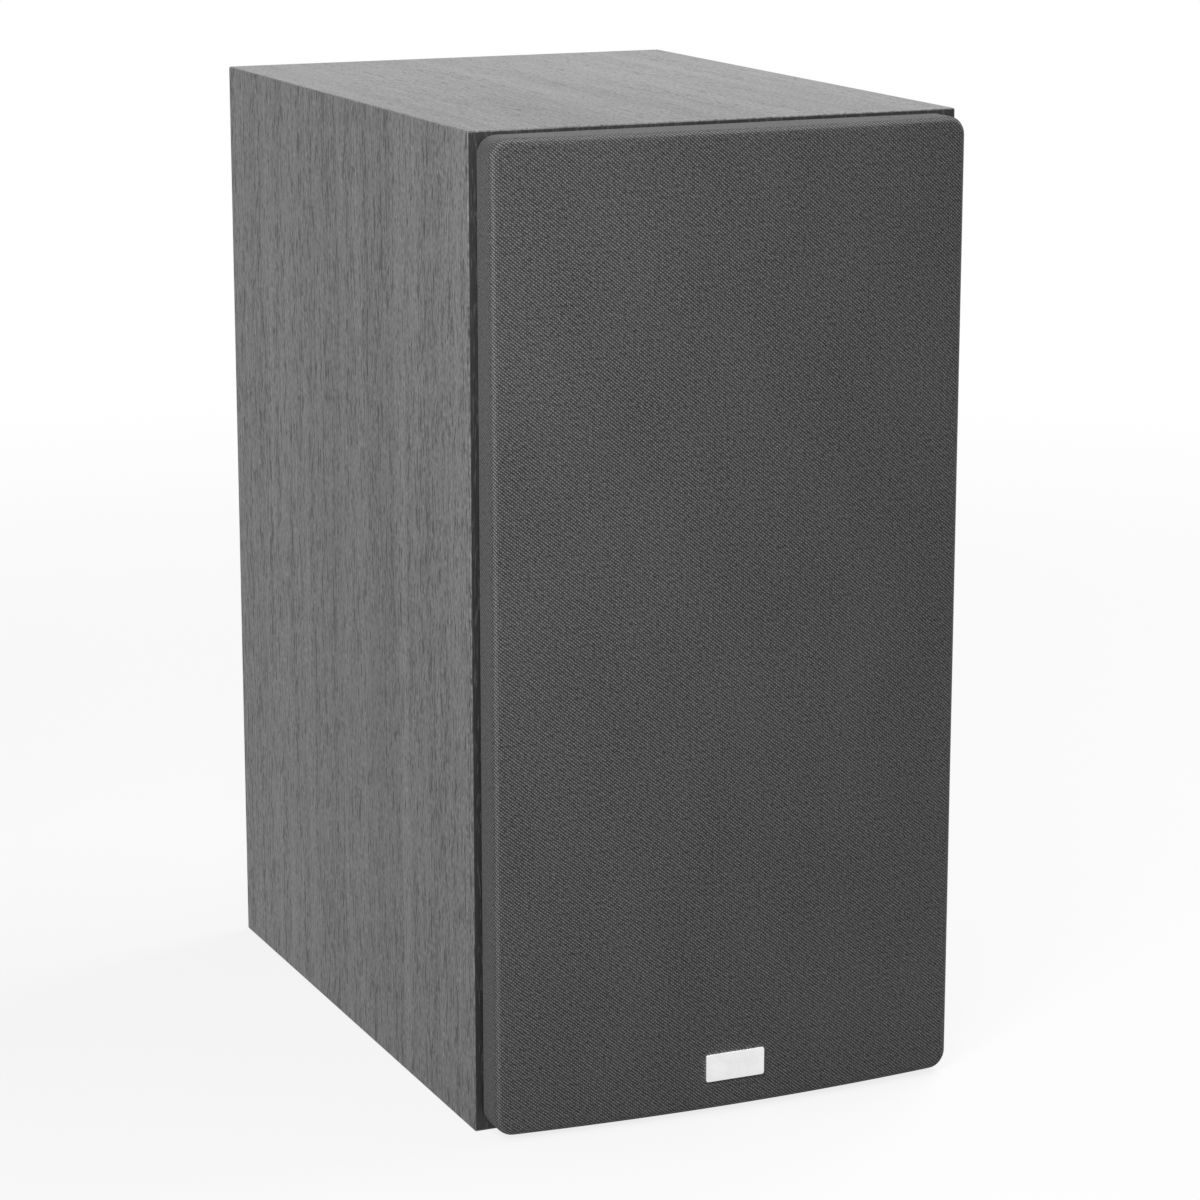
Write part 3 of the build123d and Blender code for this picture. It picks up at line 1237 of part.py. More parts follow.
# ---- all nodes -----------------------------------------------------------------------------------
def nodes():
    """Every sub-part by name: one solid, or a list of separate solids."""
    parts = cabinet_boards()
    parts["front_baffle"] = front_baffle()
    parts["back_panel"] = back_panel()
    parts["window_brace"] = window_brace()
    parts["wadding"] = wadding()
    parts["grille_cloth"] = grille_cloth()
    parts["grille_frame"] = grille_frame()
    parts["grille_pegs"] = grille_pegs()
    parts["grille_sockets"] = grille_sockets()
    parts["badge"] = badge()
    parts["woofer_basket"] = woofer_basket()
    parts["woofer_gasket"] = woofer_gasket()
    parts["woofer_surround"] = woofer_surround()
    parts["woofer_cone"] = woofer_cone()
    parts["woofer_dust_cap"] = woofer_dust_cap()
    parts["woofer_spider"] = woofer_spider()
    parts["woofer_former"] = woofer_former()
    parts["woofer_winding"] = woofer_winding()
    parts["woofer_top_plate"] = woofer_top_plate()
    parts["woofer_magnet"] = woofer_magnet()
    parts["woofer_yoke"] = woofer_yoke()
    parts["woofer_tag_strip"] = woofer_tag_strip()
    parts["woofer_tags"] = woofer_tags()
    parts["woofer_screws"] = [WOOFER_AT * s for s in screws(WOOFER_SCREW_PLACES, WOOFER_SCREW)]
    parts["tweeter_faceplate"] = tweeter_faceplate()
    parts["tweeter_surround"] = tweeter_surround()
    parts["tweeter_dome"] = tweeter_dome()
    parts["tweeter_former"] = tweeter_former()
    parts["tweeter_winding"] = tweeter_winding()
    parts["tweeter_top_plate"] = tweeter_top_plate()
    parts["tweeter_magnet"] = tweeter_magnet()
    parts["tweeter_yoke"] = tweeter_yoke()
    parts["tweeter_rear_cup"] = tweeter_rear_cup()
    parts["tweeter_tags"] = tweeter_tags()
    parts["tweeter_screws"] = [TWEETER_AT * s for s in screws(TWEETER_SCREW_PLACES, TWEETER_SCREW)]
    parts["slot_port"] = slot_port()
    parts["terminal_cup"] = terminal_cup()
    parts["cup_gasket"] = cup_gasket()
    parts["cup_screws"] = [CUP_AT * Pos(0, 0, CUP_FACE) * s for s in screws(CUP_SCREW_PLACES, CUP_SCREW)]
    parts["binding_posts"] = binding_posts()
    parts["post_nuts"] = post_nuts()
    parts["solder_tags"] = solder_tags()
    for colour, x in POST_PLACES:
        parts[colour + "_clamp_ring"] = clamp_ring(x)
        parts[colour + "_cap"] = cap_nut(x)
        parts[colour + "_cap_insert"] = cap_insert(x)
    parts["crossover_board"] = crossover_board()
    parts["crossover_standoffs"] = crossover_standoffs()
    parts["crossover_screws"] = crossover_screws()
    parts["crossover_coils"] = crossover_coils()
    parts["crossover_capacitors"] = crossover_capacitors()
    parts["crossover_resistors"] = crossover_resistors()
    parts["input_leads"] = input_leads()
    parts["woofer_leads"] = woofer_leads()
    parts["tweeter_leads"] = tweeter_leads()
    return parts


def write(parts):
    """One STEP file for each node."""
    os.makedirs("parts", exist_ok=True)
    for name, shape in parts.items():
        solids = shape if isinstance(shape, list) else [shape]
        bodies = [solid for piece in solids for solid in piece.solids()]
        export_step(Compound(children=bodies) if len(bodies) > 1 else bodies[0], f"parts/{name}.step")


write(nodes())
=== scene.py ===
"""Bookshelf loudspeaker with a pull-off cloth grille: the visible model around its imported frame."""
import logging
from collections.abc import Sequence
from dataclasses import dataclass
from enum import Enum
from math import asin, cos, hypot, pi, radians, sin, sqrt, tau
from typing import ClassVar

import bmesh
import bpy
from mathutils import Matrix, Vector, noise


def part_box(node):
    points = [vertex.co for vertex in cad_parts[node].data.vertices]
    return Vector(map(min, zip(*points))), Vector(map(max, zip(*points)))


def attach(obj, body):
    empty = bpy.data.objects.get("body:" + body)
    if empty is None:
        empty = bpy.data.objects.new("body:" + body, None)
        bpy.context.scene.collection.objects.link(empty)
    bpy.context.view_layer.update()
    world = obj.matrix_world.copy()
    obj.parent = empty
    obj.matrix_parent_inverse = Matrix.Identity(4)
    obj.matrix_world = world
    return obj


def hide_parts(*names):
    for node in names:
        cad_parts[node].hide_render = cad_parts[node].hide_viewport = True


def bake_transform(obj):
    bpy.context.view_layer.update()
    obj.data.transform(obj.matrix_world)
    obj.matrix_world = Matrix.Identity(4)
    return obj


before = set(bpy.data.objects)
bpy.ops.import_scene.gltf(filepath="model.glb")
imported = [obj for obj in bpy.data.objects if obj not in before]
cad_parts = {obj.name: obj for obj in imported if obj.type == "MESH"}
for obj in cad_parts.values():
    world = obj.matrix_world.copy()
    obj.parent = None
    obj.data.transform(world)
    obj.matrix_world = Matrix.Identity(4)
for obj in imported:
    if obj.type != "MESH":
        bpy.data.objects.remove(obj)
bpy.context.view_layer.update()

MM = 0.001

Point = tuple[float, float]
Place = tuple[float, float, float]
Colour = tuple[float, float, float]
Row = list[bmesh.types.BMVert]

log = logging.getLogger("speaker")


def box(node: str) -> tuple[Vector, Vector]:
    """Lowest and highest corners of a CAD node at rest, in millimetres."""
    low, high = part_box(node)
    return low / MM, high / MM


FRONT_Y, REAR_Y = (corner.y for corner in box("cabinet_left"))
PANEL = 12.0  # thickness of the boards


class Body(Enum):
    """What a piece rides on."""

    CABINET = "cabinet"
    GRILLE = "grille"
    WOOFER = "woofer_diaphragm"
    TWEETER = "tweeter_diaphragm"


class Grain(Enum):
    """The way that a board's grain runs."""

    UPRIGHT = "upright"
    DEPTH = "depth"

    def stretch(self, across: float, along: float) -> Place:
        """Cells per metre of a pattern, across the grain and along it."""
        return (across, along, across) if self is Grain.DEPTH else (across, across, along)


# ---- shader maths --------------------------------------------------------------------------------
class Wire:
    """An output socket; an expression on wires and numbers adds the Math nodes that it needs."""

    def __init__(self, tree: "Tree", socket: bpy.types.NodeSocket) -> None:
        """Keeps the socket and its tree."""
        self.tree, self.socket = tree, socket

    def output(self, key: int | str) -> "Wire":
        """Another output of the same node."""
        return Wire(self.tree, self.socket.node.outputs[key])

    def math(self, operation: str, *values: "Wire | float") -> "Wire":
        """Result of a Math node on these operands."""
        return self.tree.add("Math", {"operation": operation}, dict(enumerate(values)))

    def __add__(self, other: "Wire | float") -> "Wire":
        """Sum."""
        return self.math("ADD", self, other)

    def __mul__(self, other: "Wire | float") -> "Wire":
        """Product."""
        return self.math("MULTIPLY", self, other)

    def __sub__(self, other: "Wire | float") -> "Wire":
        """Difference."""
        return self.math("SUBTRACT", self, other)

    def __rsub__(self, other: float) -> "Wire":
        """Number less wire."""
        return self.math("SUBTRACT", other, self)

    def __abs__(self) -> "Wire":
        """Value without its sign."""
        return self.math("ABSOLUTE", self)

    __radd__ = __add__
    __rmul__ = __mul__

    def sine(self) -> "Wire":
        """Sine of an angle in radians."""
        return self.math("SINE", self)

    def root(self) -> "Wire":
        """Square root."""
        return self.math("SQRT", self)

    def larger(self, other: "Wire | float") -> "Wire":
        """The larger of two values."""
        return self.math("MAXIMUM", self, other)

    def smaller(self, other: "Wire | float") -> "Wire":
        """The smaller of two values."""
        return self.math("MINIMUM", self, other)

    def step(self, low: float, high: float, bottom: float = 0.0, top: float = 1.0) -> "Wire":
        """Smooth step from bottom, where the value is low, to top, where it is high."""
        values = {0: self, 1: low, 2: high, 3: bottom, 4: top}
        return self.tree.add("MapRange", {"interpolation_type": "SMOOTHSTEP"}, values)


class Tree:
    """A node tree, and the one method that adds nodes to it."""

    def __init__(self, owner: bpy.types.Material | bpy.types.World) -> None:
        """Opens the owner's tree."""
        owner.use_nodes = True
        self.nodes, self.links = owner.node_tree.nodes, owner.node_tree.links

    def feed(self, socket: bpy.types.NodeSocket, value: object) -> None:
        """Gives an input its value.

        Args:
            socket: the input.
            value: a wire, or the number, vector or colour to set.
        """
        if isinstance(value, Wire):
            self.links.new(value.socket, socket)
        else:
            socket.default_value = (*value, 1.0) if socket.type == "RGBA" else value

    def add(
        self,
        kind: str,
        settings: dict[str, object] | None = None,
        values: dict[str | int, object] | None = None,
        output: int | str = 0,
    ) -> Wire:
        """Adds a node.

        Args:
            kind: the node's type, without the prefix that all shader nodes share.
            settings: its own properties, which are set first.
            values: what goes to each named or numbered input.
            output: the output to read.

        Returns:
            That output.
        """
        node = self.nodes.new(f"ShaderNode{kind}")
        for name, setting in (settings or {}).items():
            setattr(node, name, setting)
        for key, value in (values or {}).items():
            self.feed(node.inputs[key], value)
        return Wire(self, node.outputs[output])

    def mix(self, share: Wire, low: Colour, high: Colour) -> Wire:
        """Colour between two, where a share of 0 is the first and 1 the second."""
        return self.add("Mix", {"data_type": "RGBA"}, {0: share, 6: low, 7: high}, 2)


class Surface(Tree):
    """A material's nodes, with the patterns that the finishes draw on."""

    def __init__(self, material: bpy.types.Material, cut: str) -> None:
        """Starts from the shader and the coordinates in metres.

        Args:
            material: the new material.
            cut: the flat cut that the coordinates lie on, or nothing for the place at rest.
        """
        super().__init__(material)
        self.shader = self.nodes["Principled BSDF"]
        self.where = (
            self.add("UVMap", {"uv_map": cut}) if cut else self.add("TexCoord", output="Object")
        )

    def parts(self) -> tuple[Wire, Wire, Wire]:
        """The coordinates one by one."""
        split = self.add("SeparateXYZ", {}, {0: self.where})
        return split, split.output(1), split.output(2)

    def scaled(self, by: Place | float) -> dict[str, object]:
        """Inputs of a pattern with so many cells per metre, in all or along each axis."""
        values = {0: self.where, 1: by if isinstance(by, tuple) else (by, by, by)}
        return {"Vector": self.add("VectorMath", {"operation": "MULTIPLY"}, values), "Scale": 1.0}

    def noise(
        self, by: Place | float, detail: float = 2.0, rough: float = 0.5, twist: float = 0.0
    ) -> Wire:
        """Noise round 0.5, of so many octaves; rough is the strength of the finer ones."""
        octaves = {"Detail": detail, "Roughness": rough, "Distortion": twist}
        return self.add("TexNoise", {}, self.scaled(by) | octaves)

    def cells(self, by: float, feature: str = "F1") -> Wire:
        """Distance to a feature of a Voronoi pattern, in cells."""
        return self.add("TexVoronoi", {"feature": feature}, self.scaled(by), "Distance")

    def dress(
        self,
        colour: Wire | Colour,
        roughness: Wire | float,
        relief: float,
        height: Wire,
        **constants: float,
    ) -> None:
        """Sets the shader.

        Args:
            colour: base colour.
            roughness: roughness.
            relief: depth of the bumps in millimetres.
            height: bumps from 0 to 1.
            constants: other sockets by name, with _ for a space.
        """
        bumps = {"Strength": 1.0, "Distance": relief * MM, "Height": height}
        normal = self.add("Bump", {}, bumps)
        values = {"Base_Color": colour, "Roughness": roughness, "Normal": normal}
        for name, value in (values | constants).items():
            self.feed(self.shader.inputs[name.replace("_", " ")], value)


def grey(tone: float) -> Colour:
    """Neutral colour of a tone."""
    return (tone, tone, tone)


def shade(colour: Colour, by: float) -> Colour:
    """Darker or lighter colour."""
    return tuple(min(1.0, part * by) for part in colour)


# ---- finishes ------------------------------------------------------------------------------------
@dataclass(frozen=True)
class Finish:
    """A surface finish, made into one material when it is first used."""

    name: str
    cut: ClassVar[str] = ""

    def material(self) -> bpy.types.Material:
        """Makes the finish's material, or finds it.

        Returns:
            The material.
        """
        name = f"{self.name}_finish"
        found = bpy.data.materials.get(name)
        if found is None:
            found = bpy.data.materials.new(name)
            self.paint(Surface(found, self.cut))
        return found

    def paint(self, surface: Surface) -> None:
        """Builds the material's nodes; each finish has its own."""
        raise NotImplementedError


@dataclass(frozen=True)
class AshVinyl(Finish):
    """Printed wood-grain foil: soft bands, hair lines and short dark pores along the grain."""

    grain: Grain = Grain.UPRIGHT
    tone: float = 0.186
    pores_from: float = 0.53
    pore_tone: float = 0.6

    def paint(self, surface: Surface) -> None:
        """Tone from bands, hair lines and pores; the pores are also pressed in.

        Args:
            surface: where the nodes go.
        """
        stretch = self.grain.stretch
        bands = surface.noise(stretch(90.0, 2.2), 3.0, 0.65, 0.5)
        hairs = surface.noise(stretch(1200.0, 38.0), 3.0, 0.85)
        grit = surface.noise(stretch(1000.0, 480.0), 1.0)
        groups = surface.noise(stretch(260.0, 9.0), 2.0)
        pores = surface.noise(stretch(1300.0, 150.0), 2.0, 0.6)
        drawn = (pores + 0.3 * (groups - 0.5)).step(self.pores_from, self.pores_from + 0.1)
        tone = 0.9 * bands + 1.8 * hairs + 1.9 * grit
        share = (tone - 1.2) * (1.0 - self.pore_tone * drawn) * 0.5
        colour = surface.mix(share, grey(0.0), grey(2.0 * self.tone))
        height = 0.3 * hairs - drawn
        surface.dress(colour, 0.40 + 0.12 * drawn, 0.05, height, Specular_IOR_Level=0.25)


@dataclass(frozen=True)
class BlackAsh(Finish):
    """Black foil with raised upright grain whose ridges catch the light, and painted highlights."""

    tone: float = 0.012
    glint_weight: float = 0.9
    bright: float = 6.0

    def paint(self, surface: Surface) -> None:
        """Near black, with flecks along the grain painted pale as highlights.

        Args:
            surface: where the nodes go.
        """
        stretch = Grain.UPRIGHT.stretch
        ridges = surface.noise(stretch(900.0, 70.0), 3.0, 0.7, 0.2)
        glint_flecks = surface.noise(stretch(1300.0, 150.0), 2.0, 0.6).step(0.55, 0.66)
        bands = surface.noise(stretch(60.0, 4.0), 3.0)
        # painted highlight: the flecks lift the colour; the bands and ridges are the foil's own grain
        share = 0.45 * bands + 0.35 * ridges + self.glint_weight * glint_flecks
        colour = surface.mix(share, grey(self.tone * 0.35), grey(self.tone * self.bright))
        height = ridges + 0.5 * glint_flecks
        surface.dress(colour, 0.42 - 0.12 * glint_flecks, 0.14, height, Specular_IOR_Level=0.3)


@dataclass(frozen=True)
class KnitCloth(Finish):
    """Fine knit grille cloth: slanting ridges of small loops with dark holes between them.

    The cloth turns over the frame's edge on a rounded rectangle of its flat cut, in millimetres.
    """

    half: Point
    corner: float
    tone: float = 0.084
    ridge_pitch: float = 1.0
    ridge_slant: float = 39.4
    cross_pitch: float = 0.99
    cross_slant: float = 48.0
    cut: ClassVar[str] = "flat"

    def crest_highlight(self, u: Wire, v: Wire) -> Wire:
        """Line where the cloth turns over the frame's edge, where a highlight is painted.

        Args:
            u: the flat cut's first coordinate, in metres.
            v: its second.

        Returns:
            1 on the line, 0 a millimetre away.
        """
        past = [
            abs(coordinate) * (1.0 / MM) - (half - self.corner)
            for coordinate, half in zip((u, v), self.half)
        ]
        out_u, out_v = (value.larger(0.0) for value in past)
        distance = (out_u * out_u + out_v * out_v).root() + past[0].larger(past[1]).smaller(0.0)
        return abs(distance - self.corner).step(0.3, 1.1, 1.0, 0.0)

    def paint(self, surface: Surface) -> None:
        """Loops where two families of lines cross; a highlight is painted along the edge.

        Args:
            surface: where the nodes go.
        """
        u, v, _ = surface.parts()
        ridge_turn, cross_turn = (tau / (p * MM) for p in (self.ridge_pitch, self.cross_pitch))
        ridge_angle, cross_angle = radians(self.ridge_slant), radians(self.cross_slant)
        slip = surface.noise((330.0, 330.0, 0.0), 1.0) * 4.2
        along = u * (ridge_turn * sin(ridge_angle)) + v * (ridge_turn * cos(ridge_angle))
        across = u * (cross_turn * cos(cross_angle)) - v * (cross_turn * sin(cross_angle))
        ridges, cross = (along + slip).sine(), (across + slip).sine()
        loops = (ridges + 0.35 * cross + 0.8 * (ridges * cross)) * 0.24 + 0.5
        yarn = surface.noise((760.0, 760.0, 0.0), 2.0, 0.7)
        drift = surface.noise((28.0, 17.0, 0.0), 3.0)
        # painted highlight: the loops are made paler along the crest over the frame's edge
        share = loops * loops * (2.0 * yarn + 0.8 * self.crest_highlight(u, v) + 0.05)
        share = share + 0.35 * (yarn - 0.5) + 0.12 * (drift - 0.5) + 0.05
        colour = surface.mix(share, grey(self.tone * 0.12), grey(self.tone * 3.1))
        surface.dress(
            colour, 0.86, 0.22, 0.75 * loops + 0.25 * yarn,
            Sheen_Weight=0.12, Sheen_Roughness=0.5, Specular_IOR_Level=0.15,
        )


@dataclass(frozen=True)
class MouldedPlastic(Finish):
    """Moulded plastic with the tool's fine grain, faint flow marks and a slightly uneven gloss."""

    colour: Colour
    roughness: float
    pitch: float
    relief: float
    coat: float = 0.0

    def paint(self, surface: Surface) -> None:
        """Grain, flow and gloss.

        Args:
            surface: where the nodes go.
        """
        fine = surface.noise(1.0 / (self.pitch * MM), 2.0, 0.6)
        flow = surface.noise(22.0, 3.0, 0.5, 1.0)
        share = 0.5 * flow + 0.5 * fine
        colour = surface.mix(share, shade(self.colour, 0.7), shade(self.colour, 1.35))
        gloss = self.roughness - 0.1 + 0.14 * flow + 0.06 * fine
        surface.dress(colour, gloss, self.relief, fine, Coat_Weight=self.coat, Coat_Roughness=0.08)


@dataclass(frozen=True)
class Metal(Finish):
    """Metal with fine tool lines, faint tarnish and small nicks."""

    colour: Colour
    roughness: float
    lines: Place | float
    relief: float
    metallic: float = 1.0

    def paint(self, surface: Surface) -> None:
        """Lines in the gloss and the relief, tarnish in the colour.

        Args:
            surface: where the nodes go.
        """
        lines = surface.noise(self.lines, 2.0, 0.7)
        tarnish = surface.noise(130.0, 3.0, 0.6)
        share = 0.7 * tarnish + 0.3 * lines
        colour = surface.mix(share, shade(self.colour, 0.78), shade(self.colour, 1.16))
        gloss = self.roughness - 0.08 + 0.16 * lines + 0.1 * tarnish
        surface.dress(colour, gloss, self.relief, lines, Metallic=self.metallic)


@dataclass(frozen=True)
class Turns(Finish):
    """Ridges in close turns round an axis that runs front to back: a thread, or a wire winding."""

    colour: Colour
    pitch: float
    relief: float
    metallic: float
    gloss: float
    groove_shade: float
    darkest: float
    palest: float
    patches: Place | float

    def paint(self, surface: Surface) -> None:
        """Round turns with painted shade between them, each a little different.

        Args:
            surface: where the nodes go.
        """
        _, along, _ = surface.parts()
        turns = (along * (tau / (self.pitch * MM))).sine() * 0.5 + 0.5
        uneven = surface.noise(self.patches, 2.0)
        # painted shade in the grooves between the turns; the uneven patches are the metal's own
        share = self.groove_shade * turns + (1.0 - self.groove_shade) * uneven
        low, high = shade(self.colour, self.darkest), shade(self.colour, self.palest)
        colour, gloss = surface.mix(share, low, high), self.gloss + 0.15 * uneven
        surface.dress(colour, gloss, self.relief, turns, Metallic=self.metallic)


@dataclass(frozen=True)
class Granular(Finish):
    """Matt material made of grains or flakes: foam, ferrite, chipboard, ceramic or powder paint."""

    low: Colour
    high: Colour
    pitch: float
    roughness: float
    relief: float

    def paint(self, surface: Surface) -> None:
        """Cells and finer noise in the colour and the relief.

        Args:
            surface: where the nodes go.
        """
        per_metre = 1.0 / (self.pitch * MM)
        grains = surface.cells(per_metre)
        fine = surface.noise(2.0 * per_metre, 2.0, 0.6)
        share = 0.5 * grains + 0.4 * fine + 0.3 * surface.noise(35.0, 2.0) - 0.1
        colour = surface.mix(share, self.low, self.high)
        gloss = self.roughness - 0.1 + 0.12 * fine
        surface.dress(colour, gloss, self.relief, 0.6 * grains + 0.4 * fine)


@dataclass(frozen=True)
class Woven(Finish):
    """Plain weave seen along the drivers' axis."""

    low: Colour
    high: Colour
    pitch: float
    roughness: float
    relief: float
    sheen: float = 0.0
    coat: float = 0.0

    def paint(self, surface: Surface) -> None:
        """Threads that go over and under, each a little different; painted shade lies between them.

        Args:
            surface: where the nodes go.
        """
        across, _, up = surface.parts()
        a, b = ((coordinate * (pi / (self.pitch * MM))).sine() for coordinate in (across, up))
        over = (a * b).step(-0.2, 0.2)
        crowns = over * abs(a) + (1.0 - over) * abs(b)
        fibres = surface.noise(2400.0, 2.0, 0.7)
        # painted shade between the threads, palest on the crowns; fibres vary on their own
        share = 0.45 * crowns + 0.2 * over + 0.4 * fibres - 0.1
        gloss = self.roughness - 0.08 + 0.16 * fibres
        surface.dress(
            surface.mix(share, self.low, self.high), gloss, self.relief, crowns + 0.2 * fibres,
            Sheen_Weight=self.sheen, Coat_Weight=self.coat, Coat_Roughness=0.25,
        )


@dataclass(frozen=True)
class CircuitBoard(Finish):
    """Lacquered board with broad tracks that show through."""

    base: Colour
    track: Colour

    def paint(self, surface: Surface) -> None:
        """Tracks between cells, with a glass weave under the lacquer.

        Args:
            surface: where the nodes go.
        """
        tracks = surface.cells(75.0, "DISTANCE_TO_EDGE").step(0.05, 0.08)
        weave = surface.noise(900.0, 1.0)
        colour = surface.mix(tracks * 0.8 + 0.2 * weave, self.base, self.track)
        surface.dress(colour, 0.26 + 0.12 * weave, 0.06, tracks)


@dataclass(frozen=True)
class Fibres(Finish):
    """Loose pale fibres of a pad of wadding."""

    low: Colour
    high: Colour

    def paint(self, surface: Surface) -> None:
        """Crossed, tangled streaks.

        Args:
            surface: where the nodes go.
        """
        one = surface.noise((160.0, 900.0, 240.0), 4.0, 0.75, 3.0)
        two = surface.noise((500.0, 150.0, 900.0), 4.0, 0.75, 3.0)
        share = one.larger(two) * 2.2 + 0.8 * surface.noise(70.0, 3.0) - 0.9
        surface.dress(surface.mix(share, self.low, self.high), 0.95, 0.4, share, Sheen_Weight=0.3)


BRASS = (0.86, 0.64, 0.27)
COPPER_RED = (0.72, 0.33, 0.13)

# painted shade: the sides are a darker copy of the same vinyl as the top and bottom
VINYL_UPRIGHT_SHADED = AshVinyl("vinyl_upright_shaded", Grain.UPRIGHT, 0.178)
VINYL_DEPTH = AshVinyl("vinyl_depth", Grain.DEPTH, pores_from=0.60, pore_tone=0.38)
BLACK_UPRIGHT = BlackAsh("black_ash_upright")
RAW_BOARD = Granular("raw_board", (0.27, 0.18, 0.1), (0.64, 0.49, 0.32), 1.7, 0.9, 0.12)
GRILLE_PLASTIC = MouldedPlastic("grille_plastic", grey(0.018), 0.5, 0.6, 0.025)
HORN_PLASTIC = MouldedPlastic("horn_plastic", grey(0.014), 0.46, 0.35, 0.02)
PORT_PLASTIC = MouldedPlastic("port_plastic", grey(0.016), 0.5, 0.4, 0.02)
CUP_PLASTIC = MouldedPlastic("cup_plastic", grey(0.016), 0.44, 0.55, 0.03)
RED_CAP = MouldedPlastic("red_cap_plastic", (0.52, 0.012, 0.014), 0.2, 1.2, 0.004, 0.6)
BLACK_CAP = MouldedPlastic("black_cap_plastic", grey(0.012), 0.2, 1.2, 0.004, 0.6)
LEAD_SKIN = MouldedPlastic("lead_skin", (0.42, 0.02, 0.02), 0.4, 0.8, 0.01)
CAPACITOR_FILM = MouldedPlastic("capacitor_film", (0.72, 0.47, 0.05), 0.25, 1.4, 0.01, 0.4)
RUBBER = MouldedPlastic("surround_rubber", grey(0.017), 0.52, 0.7, 0.02)
FILM = MouldedPlastic("former_film", (0.42, 0.24, 0.07), 0.3, 0.9, 0.006)
TAG_BOARD = Granular("tag_board", (0.22, 0.12, 0.05), (0.42, 0.27, 0.13), 0.7, 0.7, 0.03)
SATIN_SILVER = Metal("satin_silver", (0.86, 0.86, 0.87), 0.34, (90.0, 90.0, 5200.0), 0.004)
GOLD = Metal("gold_plate", (0.9, 0.66, 0.28), 0.2, (60.0, 5200.0, 60.0), 0.003)
GOLD_THREAD = Turns(
    "gold_thread", BRASS, pitch=0.7, relief=0.12, metallic=1.0, gloss=0.2, groove_shade=0.6,
    darkest=0.6, palest=1.15, patches=400.0,
)
PLATED_STEEL = Metal("plated_steel", (0.6, 0.6, 0.58), 0.34, 900.0, 0.006)
TINNED = Metal("tinned_brass", (0.78, 0.74, 0.6), 0.3, 700.0, 0.008)
BLACK_STEEL = Metal("black_steel", grey(0.035), 0.38, 1500.0, 0.008, 0.7)
BASKET_PAINT = Granular("basket_paint", grey(0.011), grey(0.034), 0.45, 0.48, 0.035)
FERRITE = Granular("ferrite", grey(0.03), grey(0.1), 0.6, 0.75, 0.05)
FOAM = Granular("foam", grey(0.012), grey(0.06), 0.55, 0.95, 0.2)
CERAMIC = Granular("ceramic", (0.62, 0.62, 0.6), (0.84, 0.84, 0.81), 0.5, 0.8, 0.05)
CONE_WEAVE = Woven("cone_weave", grey(0.005), grey(0.09), 2.3, 0.4, 0.2, 0.0, 0.15)
CAP_WEAVE = Woven("dust_cap_weave", grey(0.006), grey(0.075), 1.6, 0.44, 0.14)
SILK = Woven("silk", grey(0.006), grey(0.04), 0.28, 0.6, 0.03, 0.35)
SPIDER_CLOTH = Woven("spider_cloth", (0.28, 0.15, 0.04), (0.62, 0.4, 0.15), 0.7, 0.85, 0.12, 0.1)
COPPER = Turns(
    "copper_winding", COPPER_RED, pitch=0.55, relief=0.2, metallic=0.9, gloss=0.25, groove_shade=0.75,
    darkest=0.35, palest=1.2, patches=(160.0, 900.0, 160.0),
)
BOARD_LACQUER = CircuitBoard("circuit_board", (0.012, 0.075, 0.026), (0.05, 0.19, 0.06))
WADDING_FIBRES = Fibres("wadding_fibres", (0.52, 0.52, 0.5), (0.88, 0.88, 0.86))

CARRIED_OVER: dict[Finish, tuple[str, ...]] = {
    BLACK_UPRIGHT: ("front_baffle", "back_panel"),
    RAW_BOARD: ("window_brace",),
    GRILLE_PLASTIC: ("grille_frame", "grille_pegs", "grille_sockets"),
    BASKET_PAINT: ("woofer_basket",),
    FOAM: ("woofer_gasket", "cup_gasket"),
    CONE_WEAVE: ("woofer_cone",),
    CAP_WEAVE: ("woofer_dust_cap",),
    FILM: ("woofer_former", "tweeter_former"),
    COPPER: ("woofer_winding", "tweeter_winding", "crossover_coils"),
    PLATED_STEEL: (
        "woofer_top_plate", "woofer_yoke", "tweeter_top_plate", "tweeter_yoke", "post_nuts",
        "crossover_screws",
    ),
    FERRITE: ("woofer_magnet", "tweeter_magnet"),
    TAG_BOARD: ("woofer_tag_strip",),
    TINNED: ("woofer_tags", "tweeter_tags", "solder_tags"),
    HORN_PLASTIC: ("tweeter_faceplate", "tweeter_rear_cup"),
    PORT_PLASTIC: ("slot_port",),
    CUP_PLASTIC: ("terminal_cup", "crossover_standoffs"),
    GOLD_THREAD: ("binding_posts",),
    GOLD: ("red_clamp_ring", "black_clamp_ring", "red_cap_insert", "black_cap_insert"),
    RED_CAP: ("red_cap",),
    BLACK_CAP: ("black_cap",),
    BOARD_LACQUER: ("crossover_board",),
    CAPACITOR_FILM: ("crossover_capacitors",),
    CERAMIC: ("crossover_resistors",),
    LEAD_SKIN: ("input_leads", "woofer_leads", "tweeter_leads"),
}


